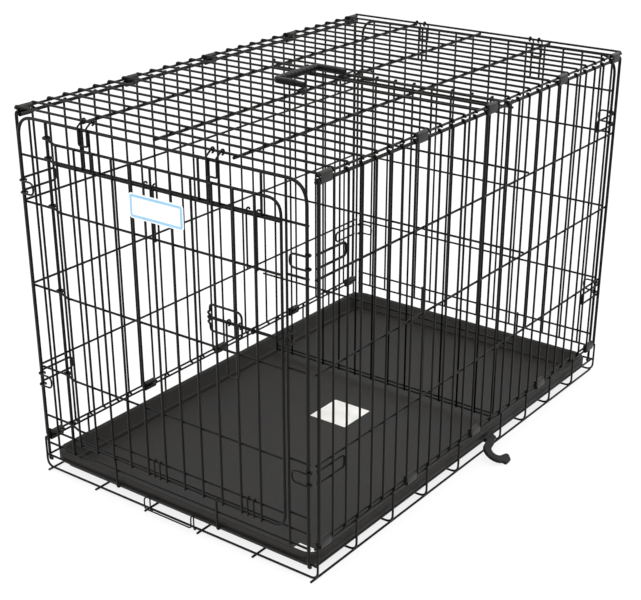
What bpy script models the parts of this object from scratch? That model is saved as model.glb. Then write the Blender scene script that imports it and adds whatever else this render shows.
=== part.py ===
"""Folding wire dog crate with a swing door, a slide bolt, hinge clips, corner loops, a divider
panel, a moulded tray and a flip handle. Metres, +Z up, front (door end) at -Y."""

import math

import bmesh
import bpy
import numpy as np
from mathutils import Matrix

for stale in list(bpy.data.objects):
    bpy.data.objects.remove(stale, do_unlink=True)

# Driving sizes of the crate
MM = 0.001
WIRE = 3.8 * MM               # mesh wire
FRAME_WIRE = 5.6 * MM         # posts, rails and stiffening bars, seen face on
HALF_LENGTH = 465.4 * MM      # outer face of the back panel
HALF_WIDTH = 291.8 * MM       # outer face of the side panels
TOP_WIRES = 634.8 * MM        # upper face of the top panel
PANEL_GAP = 0.8 * MM          # between neighbouring panels
SNAP_GAP = 0.5 * MM           # between a clip or an eye and the wire it holds
LATCH_DEPTH = 13.0 * MM       # how much nearer the middle the front panel's outer face is
REST_GAP = 0.3 * MM           # between pieces that rest on each other
WIRE_CORNER = 0.5 * math.sqrt(2.0) * WIRE     # reach of a turning square wire's corner

# Depth layers: the uprights lie outside, the rails inside
FRONT_OUT = -HALF_LENGTH + LATCH_DEPTH
FRONT_MID = FRONT_OUT + WIRE
FRONT_IN = FRONT_MID + WIRE
BACK_MID = HALF_LENGTH - WIRE
BACK_IN = BACK_MID - WIRE
SIDE_MID = HALF_WIDTH - WIRE
SIDE_IN = SIDE_MID - WIRE
DOOR_IN = FRONT_OUT - PANEL_GAP
DOOR_MID = DOOR_IN - WIRE
DOOR_OUT = DOOR_MID - WIRE

# Heights of the rails, from the top down and from the floor up
TOP_MID = TOP_WIRES - WIRE
TOP_LOW = TOP_MID - WIRE
SIDE_RAIL_TOP = TOP_LOW - 3.9 * MM - 0.5 * FRAME_WIRE
END_RAIL_TOP = TOP_LOW - 3.3 * MM - 0.5 * WIRE
LEVEL_HEADER = END_RAIL_TOP - 62.0 * MM
LEVEL_UPPER = LEVEL_HEADER - 76.0 * MM
LEVEL_MIDDLE = 343.0 * MM
LEVEL_LOWER = 198.0 * MM
LEVEL_SILL = 107.0 * MM
LEVEL_APRON = 80.0 * MM
LEVEL_FOOT = 54.0 * MM
FLOOR_SIDE_RAIL = 58.0 * MM
SIDE_RAIL_BOTTOM = FLOOR_SIDE_RAIL + 8.0 * MM
FLOOR_END_RAIL = 28.0 * MM
LEG_TIP = FLOOR_END_RAIL - 6.0 * MM
LOCK_UPPER = LEVEL_UPPER + 26.0 * MM
LOCK_LOWER = LEVEL_LOWER - 21.0 * MM
LOCK_HALF = 10.0 * MM
BOLT_LEVEL = LEVEL_MIDDLE + 52.0 * MM

# Spacing of the uprights
SIDE_BAYS = 27
SIDE_POST_FRONT = FRONT_IN + PANEL_GAP + 0.5 * FRAME_WIRE
SIDE_POST_BACK = BACK_IN - PANEL_GAP - 0.5 * FRAME_WIRE
SIDE_PITCH = (SIDE_POST_BACK - SIDE_POST_FRONT) / SIDE_BAYS
LOOP_ROOM = 4.5 * MM          # from the end posts to the side rails, for the corner loops
END_POST = SIDE_IN - LOOP_ROOM - 0.5 * FRAME_WIRE
END_UPRIGHTS = 14
END_MARGIN = 28.0 * MM        # from an end post to the first upright
END_PITCH = 2.0 * (END_POST - END_MARGIN) / (END_UPRIGHTS - 1)
HINGE_UPRIGHT = 61.9 * MM - END_POST
STRIP_UPRIGHT = HINGE_UPRIGHT - 36.0 * MM
KEEPER_UPRIGHT = END_POST - 34.9 * MM
KEEPER_X = KEEPER_UPRIGHT + 14.0 * MM
HEADER_UPRIGHTS = (-106.0 * MM, 88.0 * MM, 200.0 * MM)
HOOK_CENTRES = (-133.0 * MM, 116.5 * MM)
HOOK_HALF = 9.0 * MM
FRONT_LEGS = (-118.0 * MM, 98.0 * MM)
BACK_LEGS = (-3.0 * END_PITCH, 3.0 * END_PITCH)
TOP_BAR_PITCH = 147.0 * MM

# Floor wires: two groups of cross wires with a wide bay between them
FLOOR_CROSS_FRONT = FRONT_MID + WIRE_CORNER + REST_GAP
FLOOR_CROSS_BACK = BACK_MID - WIRE_CORNER - REST_GAP
WIDE_BAY = (-47.5 * MM, 94.5 * MM)
FLOOR_GROUP = 5
FLOOR_LONG_COUNT = 6
FLOOR_LONG_OUTER = SIDE_IN - 2.2 * MM

# Door, hung on its upright at the left
DOOR_LEFT = HINGE_UPRIGHT + 12.0 * MM
DOOR_RIGHT = KEEPER_UPRIGHT - 5.0 * MM
DOOR_FIRST = DOOR_LEFT + 15.0 * MM
DOOR_LAST = DOOR_RIGHT - 42.0 * MM
DOOR_BAYS = 10
DOOR_TOP = LEVEL_HEADER + 31.0 * MM
DOOR_BOTTOM = LEVEL_APRON + 1.0 * MM

# Slide bolt and drop loop, carried before the door
BOLT_WIRE = 4.2 * MM
LOOP_WIRE = 3.0 * MM
LOOP_EYE = 0.5 * math.sqrt(2.0) * BOLT_WIRE + SNAP_GAP + 0.5 * LOOP_WIRE
BOLT_Y = DOOR_OUT - LOOP_EYE - 0.5 * LOOP_WIRE - REST_GAP

parts = bpy.data.collections.new("folding_wire_dog_crate")
bpy.context.scene.collection.children.link(parts)
cutters = bpy.data.collections.new("cutters")
bpy.context.scene.collection.children.link(cutters)
footprint = bpy.data.objects.new("footprint_centre", None)
parts.objects.link(footprint)


def finish_mesh(bm, name, collection=None):
    """Turn a bmesh into one named object with outward normals."""
    bmesh.ops.recalc_face_normals(bm, faces=bm.faces)
    mesh = bpy.data.meshes.new(name)
    bm.to_mesh(mesh)
    bm.free()
    obj = bpy.data.objects.new(name, mesh)
    (collection or parts).objects.link(obj)
    return obj


def paint(obj, rgb, roughness, metallic=0.0):
    """Give the object its own Principled material."""
    material = bpy.data.materials.new(obj.name + "_material")
    material.use_nodes = True
    shader = material.node_tree.nodes["Principled BSDF"]
    shader.inputs["Base Color"].default_value = (rgb[0], rgb[1], rgb[2], 1.0)
    shader.inputs["Roughness"].default_value = roughness
    shader.inputs["Metallic"].default_value = metallic
    obj.data.materials.clear()
    obj.data.materials.append(material)
    return obj


def wire_paint(obj):
    """Black coated steel wire."""
    return paint(obj, (0.012, 0.011, 0.010), 0.42)


def hang_on(obj, place):
    """Move the object's origin to its joint's axis, with its shape where it was."""
    obj.data.transform(Matrix.Translation((-place[0], -place[1], -place[2])))
    obj.location = place
    return obj


def lattice(name, boxes, collection=None):
    """One closed body out of boxes that touch or overlap, each (x0, x1, y0, y1, z0, z1)."""
    table = np.round(np.array(boxes), 7)
    cuts = [np.unique(table[:, 2 * axis:2 * axis + 2]) for axis in range(3)]
    filled = np.zeros([len(cut) + 1 for cut in cuts], dtype=bool)
    for row in table:
        low = [np.searchsorted(cuts[axis], row[2 * axis]) + 1 for axis in range(3)]
        high = [np.searchsorted(cuts[axis], row[2 * axis + 1]) + 1 for axis in range(3)]
        filled[low[0]:high[0], low[1]:high[1], low[2]:high[2]] = True
    bm = bmesh.new()
    corners = {}
    for axis in range(3):
        beyond = np.roll(filled, -1, axis=axis)
        side_a, side_b = [other for other in range(3) if other != axis]
        for cell in np.argwhere(filled != beyond):
            loop = []
            for step_a, step_b in ((0, 0), (1, 0), (1, 1), (0, 1)):
                key = [0, 0, 0]
                key[axis] = int(cell[axis])
                key[side_a] = int(cell[side_a]) - 1 + step_a
                key[side_b] = int(cell[side_b]) - 1 + step_b
                key = tuple(key)
                if key not in corners:
                    place = [cuts[i][key[i]] for i in range(3)]
                    corners[key] = bm.verts.new(place)
                loop.append(corners[key])
            bm.faces.new(loop)
    bmesh.ops.recalc_face_normals(bm, faces=bm.faces)
    bmesh.ops.dissolve_limit(bm, angle_limit=0.01, verts=bm.verts, edges=bm.edges)
    return finish_mesh(bm, name, collection)


def post(x, layer_y, z0, z1, width=WIRE):
    """An upright of an end panel: layer_y is its pair of depth faces."""
    return (x - 0.5 * width, x + 0.5 * width, layer_y[0], layer_y[1], z0, z1)


def rail(x0, x1, layer_y, z, width=WIRE):
    """A rail of an end panel at height z."""
    return (x0, x1, layer_y[0], layer_y[1], z - 0.5 * width, z + 0.5 * width)


def extrude_profile(name, outline, start, length, axis, collection=None):
    """Extrude a closed outline. axis 'y' takes (x, z) pairs, axis 'z' takes (x, y) pairs."""
    bm = bmesh.new()
    rings = []
    for depth in (start, start + length):
        ring = []
        for a, b in outline:
            place = (a, depth, b) if axis == "y" else (a, b, depth)
            ring.append(bm.verts.new(place))
        rings.append(ring)
    count = len(outline)
    for i in range(count):
        j = (i + 1) % count
        bm.faces.new((rings[0][i], rings[0][j], rings[1][j], rings[1][i]))
    bm.faces.new(rings[0])
    bm.faces.new(rings[1])
    return finish_mesh(bm, name, collection)


def bent_wire(name, points, width, collection=None):
    """A square wire swept along straight legs, with capped ends."""
    curve = bpy.data.curves.new(name, "CURVE")
    curve.dimensions = "3D"
    curve.bevel_depth = width * 0.5
    curve.bevel_resolution = 0
    curve.use_fill_caps = True
    spline = curve.splines.new("POLY")
    spline.points.add(len(points) - 1)
    for point, place in zip(spline.points, points):
        point.co = (place[0], place[1], place[2], 1.0)
    holder = bpy.data.objects.new(name + "_curve", curve)
    cutters.objects.link(holder)
    bpy.context.view_layer.update()
    mesh = bpy.data.meshes.new_from_object(holder.evaluated_get(bpy.context.evaluated_depsgraph_get()))
    bpy.data.objects.remove(holder, do_unlink=True)
    bm = bmesh.new()
    bm.from_mesh(mesh)
    bmesh.ops.remove_doubles(bm, verts=bm.verts, dist=0.00001)
    return finish_mesh(bm, name, collection)


def arc(centre, radius, start, stop, steps):
    """Points of an arc in a plane, angles in degrees."""
    turned = []
    for step in range(steps + 1):
        angle = math.radians(start + (stop - start) * step / steps)
        turned.append((centre[0] + radius * math.cos(angle), centre[1] + radius * math.sin(angle)))
    return turned


def join_solids(obj, tools):
    """Boolean union of the tools into the object, made final."""
    for tool in tools:
        modifier = obj.modifiers.new("join_" + tool.name, "BOOLEAN")
        modifier.operation = "UNION"
        modifier.solver = "EXACT"
        modifier.object = tool
        tool.hide_render = True
        tool.display_type = "WIRE"
    bpy.context.view_layer.update()
    mesh = bpy.data.meshes.new_from_object(obj.evaluated_get(bpy.context.evaluated_depsgraph_get()))
    obj.modifiers.clear()
    obj.data = mesh
    bm = bmesh.new()
    bm.from_mesh(mesh)
    bmesh.ops.remove_doubles(bm, verts=bm.verts, dist=0.000001)
    bmesh.ops.dissolve_limit(bm, angle_limit=0.01, verts=bm.verts, edges=bm.edges)
    bm.to_mesh(mesh)
    bm.free()
    return obj


def side_place(index):
    """Y of a side upright, 0 at the front post and SIDE_BAYS at the back post."""
    return SIDE_POST_FRONT + index * SIDE_PITCH


# Side panels: uprights outside, rails inside, short lock wires at each corner
def side_panel(name, hand):
    outer = sorted((hand * SIDE_MID, hand * HALF_WIDTH))
    inner = sorted((hand * SIDE_IN, hand * SIDE_MID))
    foot = SIDE_RAIL_BOTTOM - 0.5 * WIRE
    head = SIDE_RAIL_TOP + 0.5 * FRAME_WIRE
    boxes = []
    for index in range(SIDE_BAYS + 1):
        width = FRAME_WIRE if index in (0, SIDE_BAYS) else WIRE
        y = side_place(index)
        boxes.append((outer[0], outer[1], y - 0.5 * width, y + 0.5 * width, foot, head))
    y0 = side_place(0) - 0.5 * FRAME_WIRE
    y1 = side_place(SIDE_BAYS) + 0.5 * FRAME_WIRE
    levels = [(SIDE_RAIL_BOTTOM, WIRE), (LEVEL_LOWER, WIRE), (LEVEL_MIDDLE, WIRE), (LEVEL_UPPER, WIRE)]
    levels.append((SIDE_RAIL_TOP, FRAME_WIRE))
    for z, width in levels:
        boxes.append((inner[0], inner[1], y0, y1, z - 0.5 * width, z + 0.5 * width))
    for centre in (LOCK_UPPER, LOCK_LOWER):
        for z in (centre - LOCK_HALF, centre + LOCK_HALF):
            for near, far in ((y0, side_place(2) + 0.5 * WIRE), (side_place(SIDE_BAYS - 2) - 0.5 * WIRE, y1)):
                boxes.append((inner[0], inner[1], near, far, z - 0.5 * WIRE, z + 0.5 * WIRE))
    return wire_paint(lattice(name, boxes))


side_panel("left_side_panel", -1)
side_panel("right_side_panel", 1)

# Top panel: cross wires over two side rails and three lengthwise bars
TOP_RAIL_X = SIDE_MID - 2.0 * MM
TOP_NUB = 1.6 * MM
top_reach = TOP_RAIL_X + 0.5 * FRAME_WIRE + TOP_NUB
top_ends = (side_place(0) - 0.5 * WIRE, side_place(SIDE_BAYS) + 0.5 * WIRE)
top_boxes = []
for index in range(SIDE_BAYS + 1):
    y = side_place(index)
    top_boxes.append((-top_reach, top_reach, y - 0.5 * WIRE, y + 0.5 * WIRE, TOP_MID, TOP_WIRES))
for x in (-TOP_RAIL_X, -TOP_BAR_PITCH, 0.0, TOP_BAR_PITCH, TOP_RAIL_X):
    top_boxes.append((x - 0.5 * FRAME_WIRE, x + 0.5 * FRAME_WIRE, top_ends[0], top_ends[1], TOP_LOW, TOP_MID))
wire_paint(lattice("top_panel", top_boxes))

# Floor basket: long wires under cross wires whose ends turn up to the rim rail and the side rail
floor_boxes = []
for index in range(FLOOR_LONG_COUNT):
    x = (2.0 * index / (FLOOR_LONG_COUNT - 1) - 1.0) * FLOOR_LONG_OUTER
    floor_boxes.append((x - 0.5 * WIRE, x + 0.5 * WIRE, FRONT_OUT, HALF_LENGTH, 0.0, WIRE))
floor_places = []
for step in range(FLOOR_GROUP):
    share = step / (FLOOR_GROUP - 1)
    floor_places.append(FLOOR_CROSS_FRONT + share * (WIDE_BAY[0] - FLOOR_CROSS_FRONT))
    floor_places.append(WIDE_BAY[1] + share * (FLOOR_CROSS_BACK - WIDE_BAY[1]))
rail_high = FLOOR_SIDE_RAIL + 0.5 * WIRE
for y in floor_places:
    band = (y - 0.5 * WIRE, y + 0.5 * WIRE)
    floor_boxes.append((-HALF_WIDTH, HALF_WIDTH, band[0], band[1], WIRE, 2 * WIRE))
    for low, high in ((-HALF_WIDTH, -SIDE_MID), (SIDE_MID, HALF_WIDTH)):
        floor_boxes.append((low, high, band[0], band[1], WIRE, rail_high))
floor_ends = (FLOOR_CROSS_FRONT - 0.5 * WIRE, FLOOR_CROSS_BACK + 0.5 * WIRE)
for low, high in ((-SIDE_MID, -SIDE_IN), (SIDE_IN, SIDE_MID)):
    for z in (FLOOR_END_RAIL, FLOOR_SIDE_RAIL):
        floor_boxes.append((low, high, floor_ends[0], floor_ends[1], z - 0.5 * WIRE, z + 0.5 * WIRE))
for y in (FLOOR_CROSS_FRONT, FLOOR_CROSS_BACK):
    low = FLOOR_END_RAIL - 0.5 * WIRE
    floor_boxes.append((-HALF_WIDTH, HALF_WIDTH, y - 0.5 * WIRE, y + 0.5 * WIRE, low, low + WIRE))
wire_paint(lattice("floor_basket", floor_boxes))


# End panels: posts, rails and uprights, with short uprights behind each top catch
def end_panel(name, out_y, mid_y, in_y, is_front):
    uprights = sorted((out_y, mid_y))
    rails = sorted((mid_y, in_y))
    foot = LEVEL_FOOT - 0.5 * WIRE
    head = END_RAIL_TOP + 0.5 * WIRE
    half = END_POST + 0.5 * FRAME_WIRE
    boxes = []
    for x in (-END_POST, END_POST):
        boxes.append(post(x, uprights, foot, head, FRAME_WIRE))
    full_levels = [LEVEL_FOOT, LEVEL_APRON, LEVEL_HEADER, END_RAIL_TOP]
    if is_front:
        strip_left = (-half, HINGE_UPRIGHT + 0.5 * FRAME_WIRE)
        strip_right = (KEEPER_UPRIGHT - 0.5 * WIRE, half)
        for level in (LEVEL_SILL, LEVEL_LOWER, LEVEL_MIDDLE, LEVEL_UPPER):
            boxes.append(rail(strip_left[0], strip_left[1], rails, level))
            boxes.append(rail(strip_right[0], strip_right[1], rails, level))
        boxes.append(post(STRIP_UPRIGHT, uprights, foot, head))
        boxes.append(post(HINGE_UPRIGHT, uprights, foot, head, FRAME_WIRE))
        boxes.append(post(KEEPER_UPRIGHT, uprights, foot, head))
        for x in HEADER_UPRIGHTS:
            boxes.append(post(x, uprights, LEVEL_HEADER - 0.5 * WIRE, head))
    else:
        full_levels += [LEVEL_LOWER, LEVEL_MIDDLE, LEVEL_UPPER]
        for step in range(END_UPRIGHTS):
            x = (step - 0.5 * (END_UPRIGHTS - 1)) * END_PITCH
            boxes.append(post(x, uprights, foot, head))
    for level in full_levels:
        boxes.append(rail(-half, half, rails, level))
    for centre in HOOK_CENTRES:
        for x in (centre - HOOK_HALF, centre + HOOK_HALF):
            boxes.append(post(x, uprights, LEVEL_HEADER - 0.5 * WIRE, head))
    hinge_y = FLOOR_CROSS_FRONT if is_front else FLOOR_CROSS_BACK
    return hang_on(wire_paint(lattice(name, boxes)), (0.0, hinge_y, FLOOR_END_RAIL))


front_panel = end_panel("front_panel", FRONT_OUT, FRONT_MID, FRONT_IN, True)
back_panel = end_panel("back_panel", HALF_LENGTH, BACK_MID, BACK_IN, False)


# Feet of the end panels: the posts and two legs reach down before the floor's end rail
def panel_feet(prefix, carrier, out_y, mid_y, legs):
    clear_y = mid_y + REST_GAP * (1.0 if out_y > mid_y else -1.0)
    for number, x in enumerate((-END_POST,) + legs + (END_POST,)):
        if x in legs:
            box = post(x, sorted((out_y, clear_y)), LEG_TIP, LEVEL_APRON + 0.5 * WIRE)
        else:
            box = post(x, sorted((out_y, mid_y)), LEG_TIP, LEVEL_FOOT - 0.5 * WIRE - REST_GAP, FRAME_WIRE)
        foot = hang_on(wire_paint(lattice(prefix + "_foot_" + str(number + 1), [box])), carrier.location)
        foot.location = (0.0, 0.0, 0.0)
        foot.parent = carrier


panel_feet("front", front_panel, FRONT_OUT, FRONT_MID, FRONT_LEGS)
panel_feet("back", back_panel, HALF_LENGTH, BACK_MID, BACK_LEGS)

# Bolt keeper: a wire ring on the upright beside the door, which the bolt's tip enters
KEEPER_WIRE = 2.6 * MM
KEEPER_HALF = 8.0 * MM
keeper_front = BOLT_Y - 0.5 * BOLT_WIRE - 2.0 * MM - KEEPER_WIRE
keeper_span = (KEEPER_UPRIGHT + 0.5 * WIRE + REST_GAP, KEEPER_X + 0.5 * WIRE)
keeper_boxes = []
for z in (BOLT_LEVEL - KEEPER_HALF, BOLT_LEVEL + KEEPER_HALF):
    keeper_boxes.append(post(KEEPER_X, (keeper_front, FRONT_MID), z - 0.5 * WIRE, z + 0.5 * WIRE))
    keeper_boxes.append(rail(keeper_span[0], keeper_span[1], (FRONT_OUT, FRONT_MID), z))
for y in (keeper_front, FRONT_OUT):
    bar = (y, y + KEEPER_WIRE)
    keeper_boxes.append(post(KEEPER_X, bar, BOLT_LEVEL - KEEPER_HALF, BOLT_LEVEL + KEEPER_HALF))
bolt_keeper = hang_on(wire_paint(lattice("bolt_keeper", keeper_boxes)), front_panel.location)
bolt_keeper.location = (0.0, 0.0, 0.0)
bolt_keeper.parent = front_panel

# Top catches: wire bails that turn on the top panel's end wires and hang before the end panels
CATCH_WIRE = 3.0 * MM
CATCH_LOW = END_RAIL_TOP - 23.0 * MM
CATCH_ROUND = 4.0 * MM
catch_eye = WIRE_CORNER + SNAP_GAP + 0.5 * CATCH_WIRE
catch_z = TOP_MID + 0.5 * WIRE
CATCH_PLACES = (("front", side_place(0), -1.0, FRONT_OUT), ("back", side_place(SIDE_BAYS), 1.0, HALF_LENGTH))
for end_name, wire_y, toward, face_y in CATCH_PLACES:
    plane_y = face_y + toward * (SNAP_GAP + 0.5 * CATCH_WIRE)
    for side_name, centre in zip(("left", "right"), HOOK_CENTRES):
        profile = [(wire_y - toward * u, z) for u, z in arc((0.0, catch_z), catch_eye, -80.0, 160.0, 8)]
        profile.append((plane_y, catch_z - 5.0 * MM))
        profile.append((plane_y, CATCH_LOW + CATCH_ROUND))
        catch_path = [(centre - HOOK_HALF, y, z) for y, z in profile]
        catch_path.append((centre - HOOK_HALF + CATCH_ROUND, plane_y, CATCH_LOW))
        catch_path.append((centre + HOOK_HALF - CATCH_ROUND, plane_y, CATCH_LOW))
        catch_path += [(centre + HOOK_HALF, y, z) for y, z in reversed(profile)]
        catch = bent_wire("_".join(("top_catch", end_name, side_name)), catch_path, CATCH_WIRE)
        hang_on(wire_paint(catch), (centre, wire_y, catch_z))

# Door: a grid with bolt guides, hooked legs and hinge eyes round the hinge upright
HOOK_LEG_WIRE = 2.8 * MM
UPPER_LEG_HALF = 9.0 * MM
LOWER_LEG_HALF = 6.0 * MM
GUIDE_WIRE = 2.8 * MM
door_uprights = (DOOR_OUT, DOOR_MID)
door_rails = (DOOR_MID, DOOR_IN)
door_low = DOOR_BOTTOM - 0.5 * WIRE
door_high = DOOR_TOP + 0.5 * WIRE
door_boxes = []
for step in range(DOOR_BAYS + 1):
    x = DOOR_FIRST + step * (DOOR_LAST - DOOR_FIRST) / DOOR_BAYS
    door_boxes.append(post(x, door_uprights, door_low, door_high))
door_boxes.append(post(DOOR_RIGHT, door_uprights, door_low, door_high, FRAME_WIRE))
door_levels = (DOOR_BOTTOM, LEVEL_SILL, LEVEL_LOWER, LEVEL_MIDDLE, LEVEL_UPPER, LEVEL_HEADER, DOOR_TOP)
for level in door_levels:
    door_boxes.append(rail(DOOR_LEFT, DOOR_RIGHT + 0.5 * FRAME_WIRE, door_rails, level))
guide_front = BOLT_Y - 0.5 * BOLT_WIRE - SNAP_GAP - GUIDE_WIRE
guide_inner = 0.5 * BOLT_WIRE + SNAP_GAP
guide_span = (BOLT_LEVEL - guide_inner - GUIDE_WIRE, BOLT_LEVEL + guide_inner + GUIDE_WIRE)
for x in (DOOR_LAST, DOOR_RIGHT):
    for z in (guide_span[0], guide_span[1] - GUIDE_WIRE):
        door_boxes.append(post(x, (guide_front, DOOR_OUT), z, z + GUIDE_WIRE, GUIDE_WIRE))
    door_boxes.append(post(x, (guide_front, guide_front + GUIDE_WIRE), guide_span[0], guide_span[1], GUIDE_WIRE))
for centre in (DOOR_LAST - 196.0 * MM, DOOR_LAST - 6.0 * MM):
    for x in (centre - UPPER_LEG_HALF, centre + UPPER_LEG_HALF):
        tip = LEVEL_HEADER + 9.0 * MM
        door_boxes.append(post(x, door_uprights, LEVEL_UPPER - 0.5 * WIRE, tip, HOOK_LEG_WIRE))
for centre in (DOOR_LAST - 211.5 * MM, DOOR_LAST - 21.0 * MM):
    for x in (centre - LOWER_LEG_HALF, centre + LOWER_LEG_HALF):
        door_boxes.append(post(x, door_uprights, door_low, LEVEL_SILL + 7.0 * MM, HOOK_LEG_WIRE))
door = lattice("door", door_boxes)
hinge_axis = (HINGE_UPRIGHT, 0.5 * (FRONT_OUT + FRONT_MID))
EYE_WIRE = 3.2 * MM
EYE_LIFT = 6.0 * MM
EYE_START = 5.0 * MM
eye_radius = 0.5 * math.hypot(FRAME_WIRE, WIRE) + SNAP_GAP + 0.5 * EYE_WIRE
door_eyes = []
for level in door_levels[1:]:
    z = level + EYE_LIFT
    eye_path = [(DOOR_LEFT + EYE_START, 0.5 * (DOOR_IN + DOOR_MID), level)]
    eye_path.append((DOOR_LEFT - EYE_START, hinge_axis[1] - eye_radius, z))
    for x, y in arc(hinge_axis, eye_radius, -90.0, -360.0, 9):
        eye_path.append((x, y, z))
    door_eyes.append(bent_wire("door_eye", eye_path, EYE_WIRE, cutters))
hang_on(wire_paint(join_solids(door, door_eyes)), (hinge_axis[0], hinge_axis[1], LEVEL_MIDDLE))

# Slide bolt with its paddle of bent wire
BOLT_TRAVEL = 17.0 * MM
BOLT_TIP = KEEPER_X + 1.0 * MM - BOLT_TRAVEL
BOLT_LEFT = BOLT_TIP - 130.0 * MM
PADDLE_RIGHT = DOOR_LAST - 0.5 * GUIDE_WIRE - 0.6 * MM - BOLT_TRAVEL
PADDLE_HALF = 20.5 * MM
PADDLE_WIRE = 3.4 * MM
bolt_band = (BOLT_Y - 0.5 * BOLT_WIRE, BOLT_Y + 0.5 * BOLT_WIRE)
bolt_boxes = [rail(BOLT_LEFT, BOLT_TIP, bolt_band, BOLT_LEVEL, BOLT_WIRE)]
for z in (BOLT_LEVEL - PADDLE_HALF, BOLT_LEVEL + PADDLE_HALF):
    bolt_boxes.append(rail(BOLT_LEFT, PADDLE_RIGHT, bolt_band, z, PADDLE_WIRE))
for x in (BOLT_LEFT + 0.5 * PADDLE_WIRE, PADDLE_RIGHT - 0.5 * PADDLE_WIRE):
    bolt_boxes.append(post(x, bolt_band, BOLT_LEVEL - PADDLE_HALF, BOLT_LEVEL + PADDLE_HALF, PADDLE_WIRE))
hang_on(wire_paint(lattice("slide_bolt", bolt_boxes)), (BOLT_TIP, BOLT_Y, BOLT_LEVEL))

# Drop loop: a long wire loop that swings on the bolt
LOOP_RIGHT = PADDLE_RIGHT - PADDLE_WIRE - SNAP_GAP - 0.5 * LOOP_WIRE
LOOP_LEFT = LOOP_RIGHT - 21.0 * MM
LOOP_LOW = BOLT_LEVEL - 83.0 * MM
LOOP_ROUND = 8.0 * MM
loop_front = BOLT_Y - LOOP_EYE
loop_path = [(LOOP_LEFT, y, z) for y, z in arc((BOLT_Y, BOLT_LEVEL), LOOP_EYE, -80.0, 180.0, 8)]
loop_path += [(LOOP_LEFT, loop_front, LOOP_LOW + LOOP_ROUND), (LOOP_LEFT + LOOP_ROUND, loop_front, LOOP_LOW)]
loop_path += [(LOOP_RIGHT - LOOP_ROUND, loop_front, LOOP_LOW), (LOOP_RIGHT, loop_front, LOOP_LOW + LOOP_ROUND)]
loop_path += [(LOOP_RIGHT, y, z) for y, z in arc((BOLT_Y, BOLT_LEVEL), LOOP_EYE, 180.0, -80.0, 8)]
loop_centre = (0.5 * (LOOP_LEFT + LOOP_RIGHT), BOLT_Y, BOLT_LEVEL)
hang_on(wire_paint(bent_wire("drop_loop", loop_path, LOOP_WIRE)), loop_centre)

# Clips that tie the top panel to the side panels and the side panels to the floor
CLIP_WALL = 1.6 * MM
CLIP_LENGTH = 26.0 * MM
CLIP_BAYS = (0, 7, 13, 20, 26)


def clip_outline(x0, x1, z0, z1, mouth):
    """A C section around a box of wires, with its mouth on the low-x side."""
    low, high = mouth
    wall = CLIP_WALL
    return [
        (x0, low), (x0 - wall, low), (x0 - wall, z0 - wall), (x1 + wall, z0 - wall),
        (x1 + wall, z1 + wall), (x0 - wall, z1 + wall), (x0 - wall, high), (x0, high),
        (x0, z1), (x1, z1), (x1, z0), (x0, z0),
    ]


def add_clips(prefix, x0, x1, z0, z1, mouth):
    for hand, side in ((-1, "left"), (1, "right")):
        for number, bay in enumerate(CLIP_BAYS):
            outline = [(hand * x, z) for x, z in clip_outline(x0, x1, z0, z1, mouth)]
            start = 0.5 * (side_place(bay) + side_place(bay + 1)) - 0.5 * CLIP_LENGTH
            name = prefix + "_" + side + "_" + str(number + 1)
            paint(extrude_profile(name, outline, start, CLIP_LENGTH, "y"), (0.02, 0.02, 0.02), 0.5)


clip_low = SIDE_RAIL_TOP - 0.5 * FRAME_WIRE - SNAP_GAP
clip_high = TOP_MID + SNAP_GAP
clip_in = TOP_RAIL_X - 0.5 * FRAME_WIRE - SNAP_GAP
clip_out = TOP_RAIL_X + 0.5 * FRAME_WIRE + SNAP_GAP
add_clips("top_clip", clip_in, clip_out, clip_low, clip_high, (SIDE_RAIL_TOP + 0.5 * FRAME_WIRE, TOP_LOW))
foot_low = FLOOR_SIDE_RAIL - 0.5 * WIRE - SNAP_GAP
foot_high = SIDE_RAIL_BOTTOM + 0.5 * WIRE + SNAP_GAP
foot_gap = (FLOOR_SIDE_RAIL + 0.5 * WIRE, SIDE_RAIL_BOTTOM - 0.5 * WIRE)
add_clips("foot_clip", SIDE_IN - SNAP_GAP, SIDE_MID + SNAP_GAP, foot_low, foot_high, foot_gap)

# Corner loops: a D of wire that turns on each end post, upper and lower at every corner
LOOP_REACH = 27.0 * MM
CORNER_ROUND = 7.0 * MM
CORNER_WIRE = 3.0 * MM
corner_eye = 0.5 * math.hypot(FRAME_WIRE, WIRE) + SNAP_GAP + 0.5 * CORNER_WIRE
front_post_y = 0.5 * (FRONT_OUT + FRONT_MID)
back_post_y = 0.5 * (HALF_LENGTH + BACK_MID)
for end_name, end_y, toward in (("front", front_post_y, -1.0), ("back", back_post_y, 1.0)):
    for side_name, hand in (("left", -1.0), ("right", 1.0)):
        ring = [(hand * (END_POST - u), end_y - toward * v)
                for u, v in arc((0.0, 0.0), corner_eye, 70.0, 270.0, 6)]
        bow_x = hand * (END_POST - LOOP_REACH)
        inner_x = bow_x + hand * CORNER_ROUND
        bow_y = end_y + toward * corner_eye
        for level_name, level in (("upper", LOCK_UPPER), ("lower", LOCK_LOWER)):
            z0 = level - LOCK_HALF
            z1 = level + LOCK_HALF
            loop_path = [(x, y, z0) for x, y in ring] + [(inner_x, bow_y, z0), (bow_x, bow_y, z0 + CORNER_ROUND)]
            loop_path += [(bow_x, bow_y, z1 - CORNER_ROUND), (inner_x, bow_y, z1)]
            loop_path += [(x, y, z1) for x, y in reversed(ring)]
            name = "_".join(("corner_loop", end_name, side_name, level_name))
            hang_on(wire_paint(bent_wire(name, loop_path, CORNER_WIRE)), (hand * END_POST, end_y, level))

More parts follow.
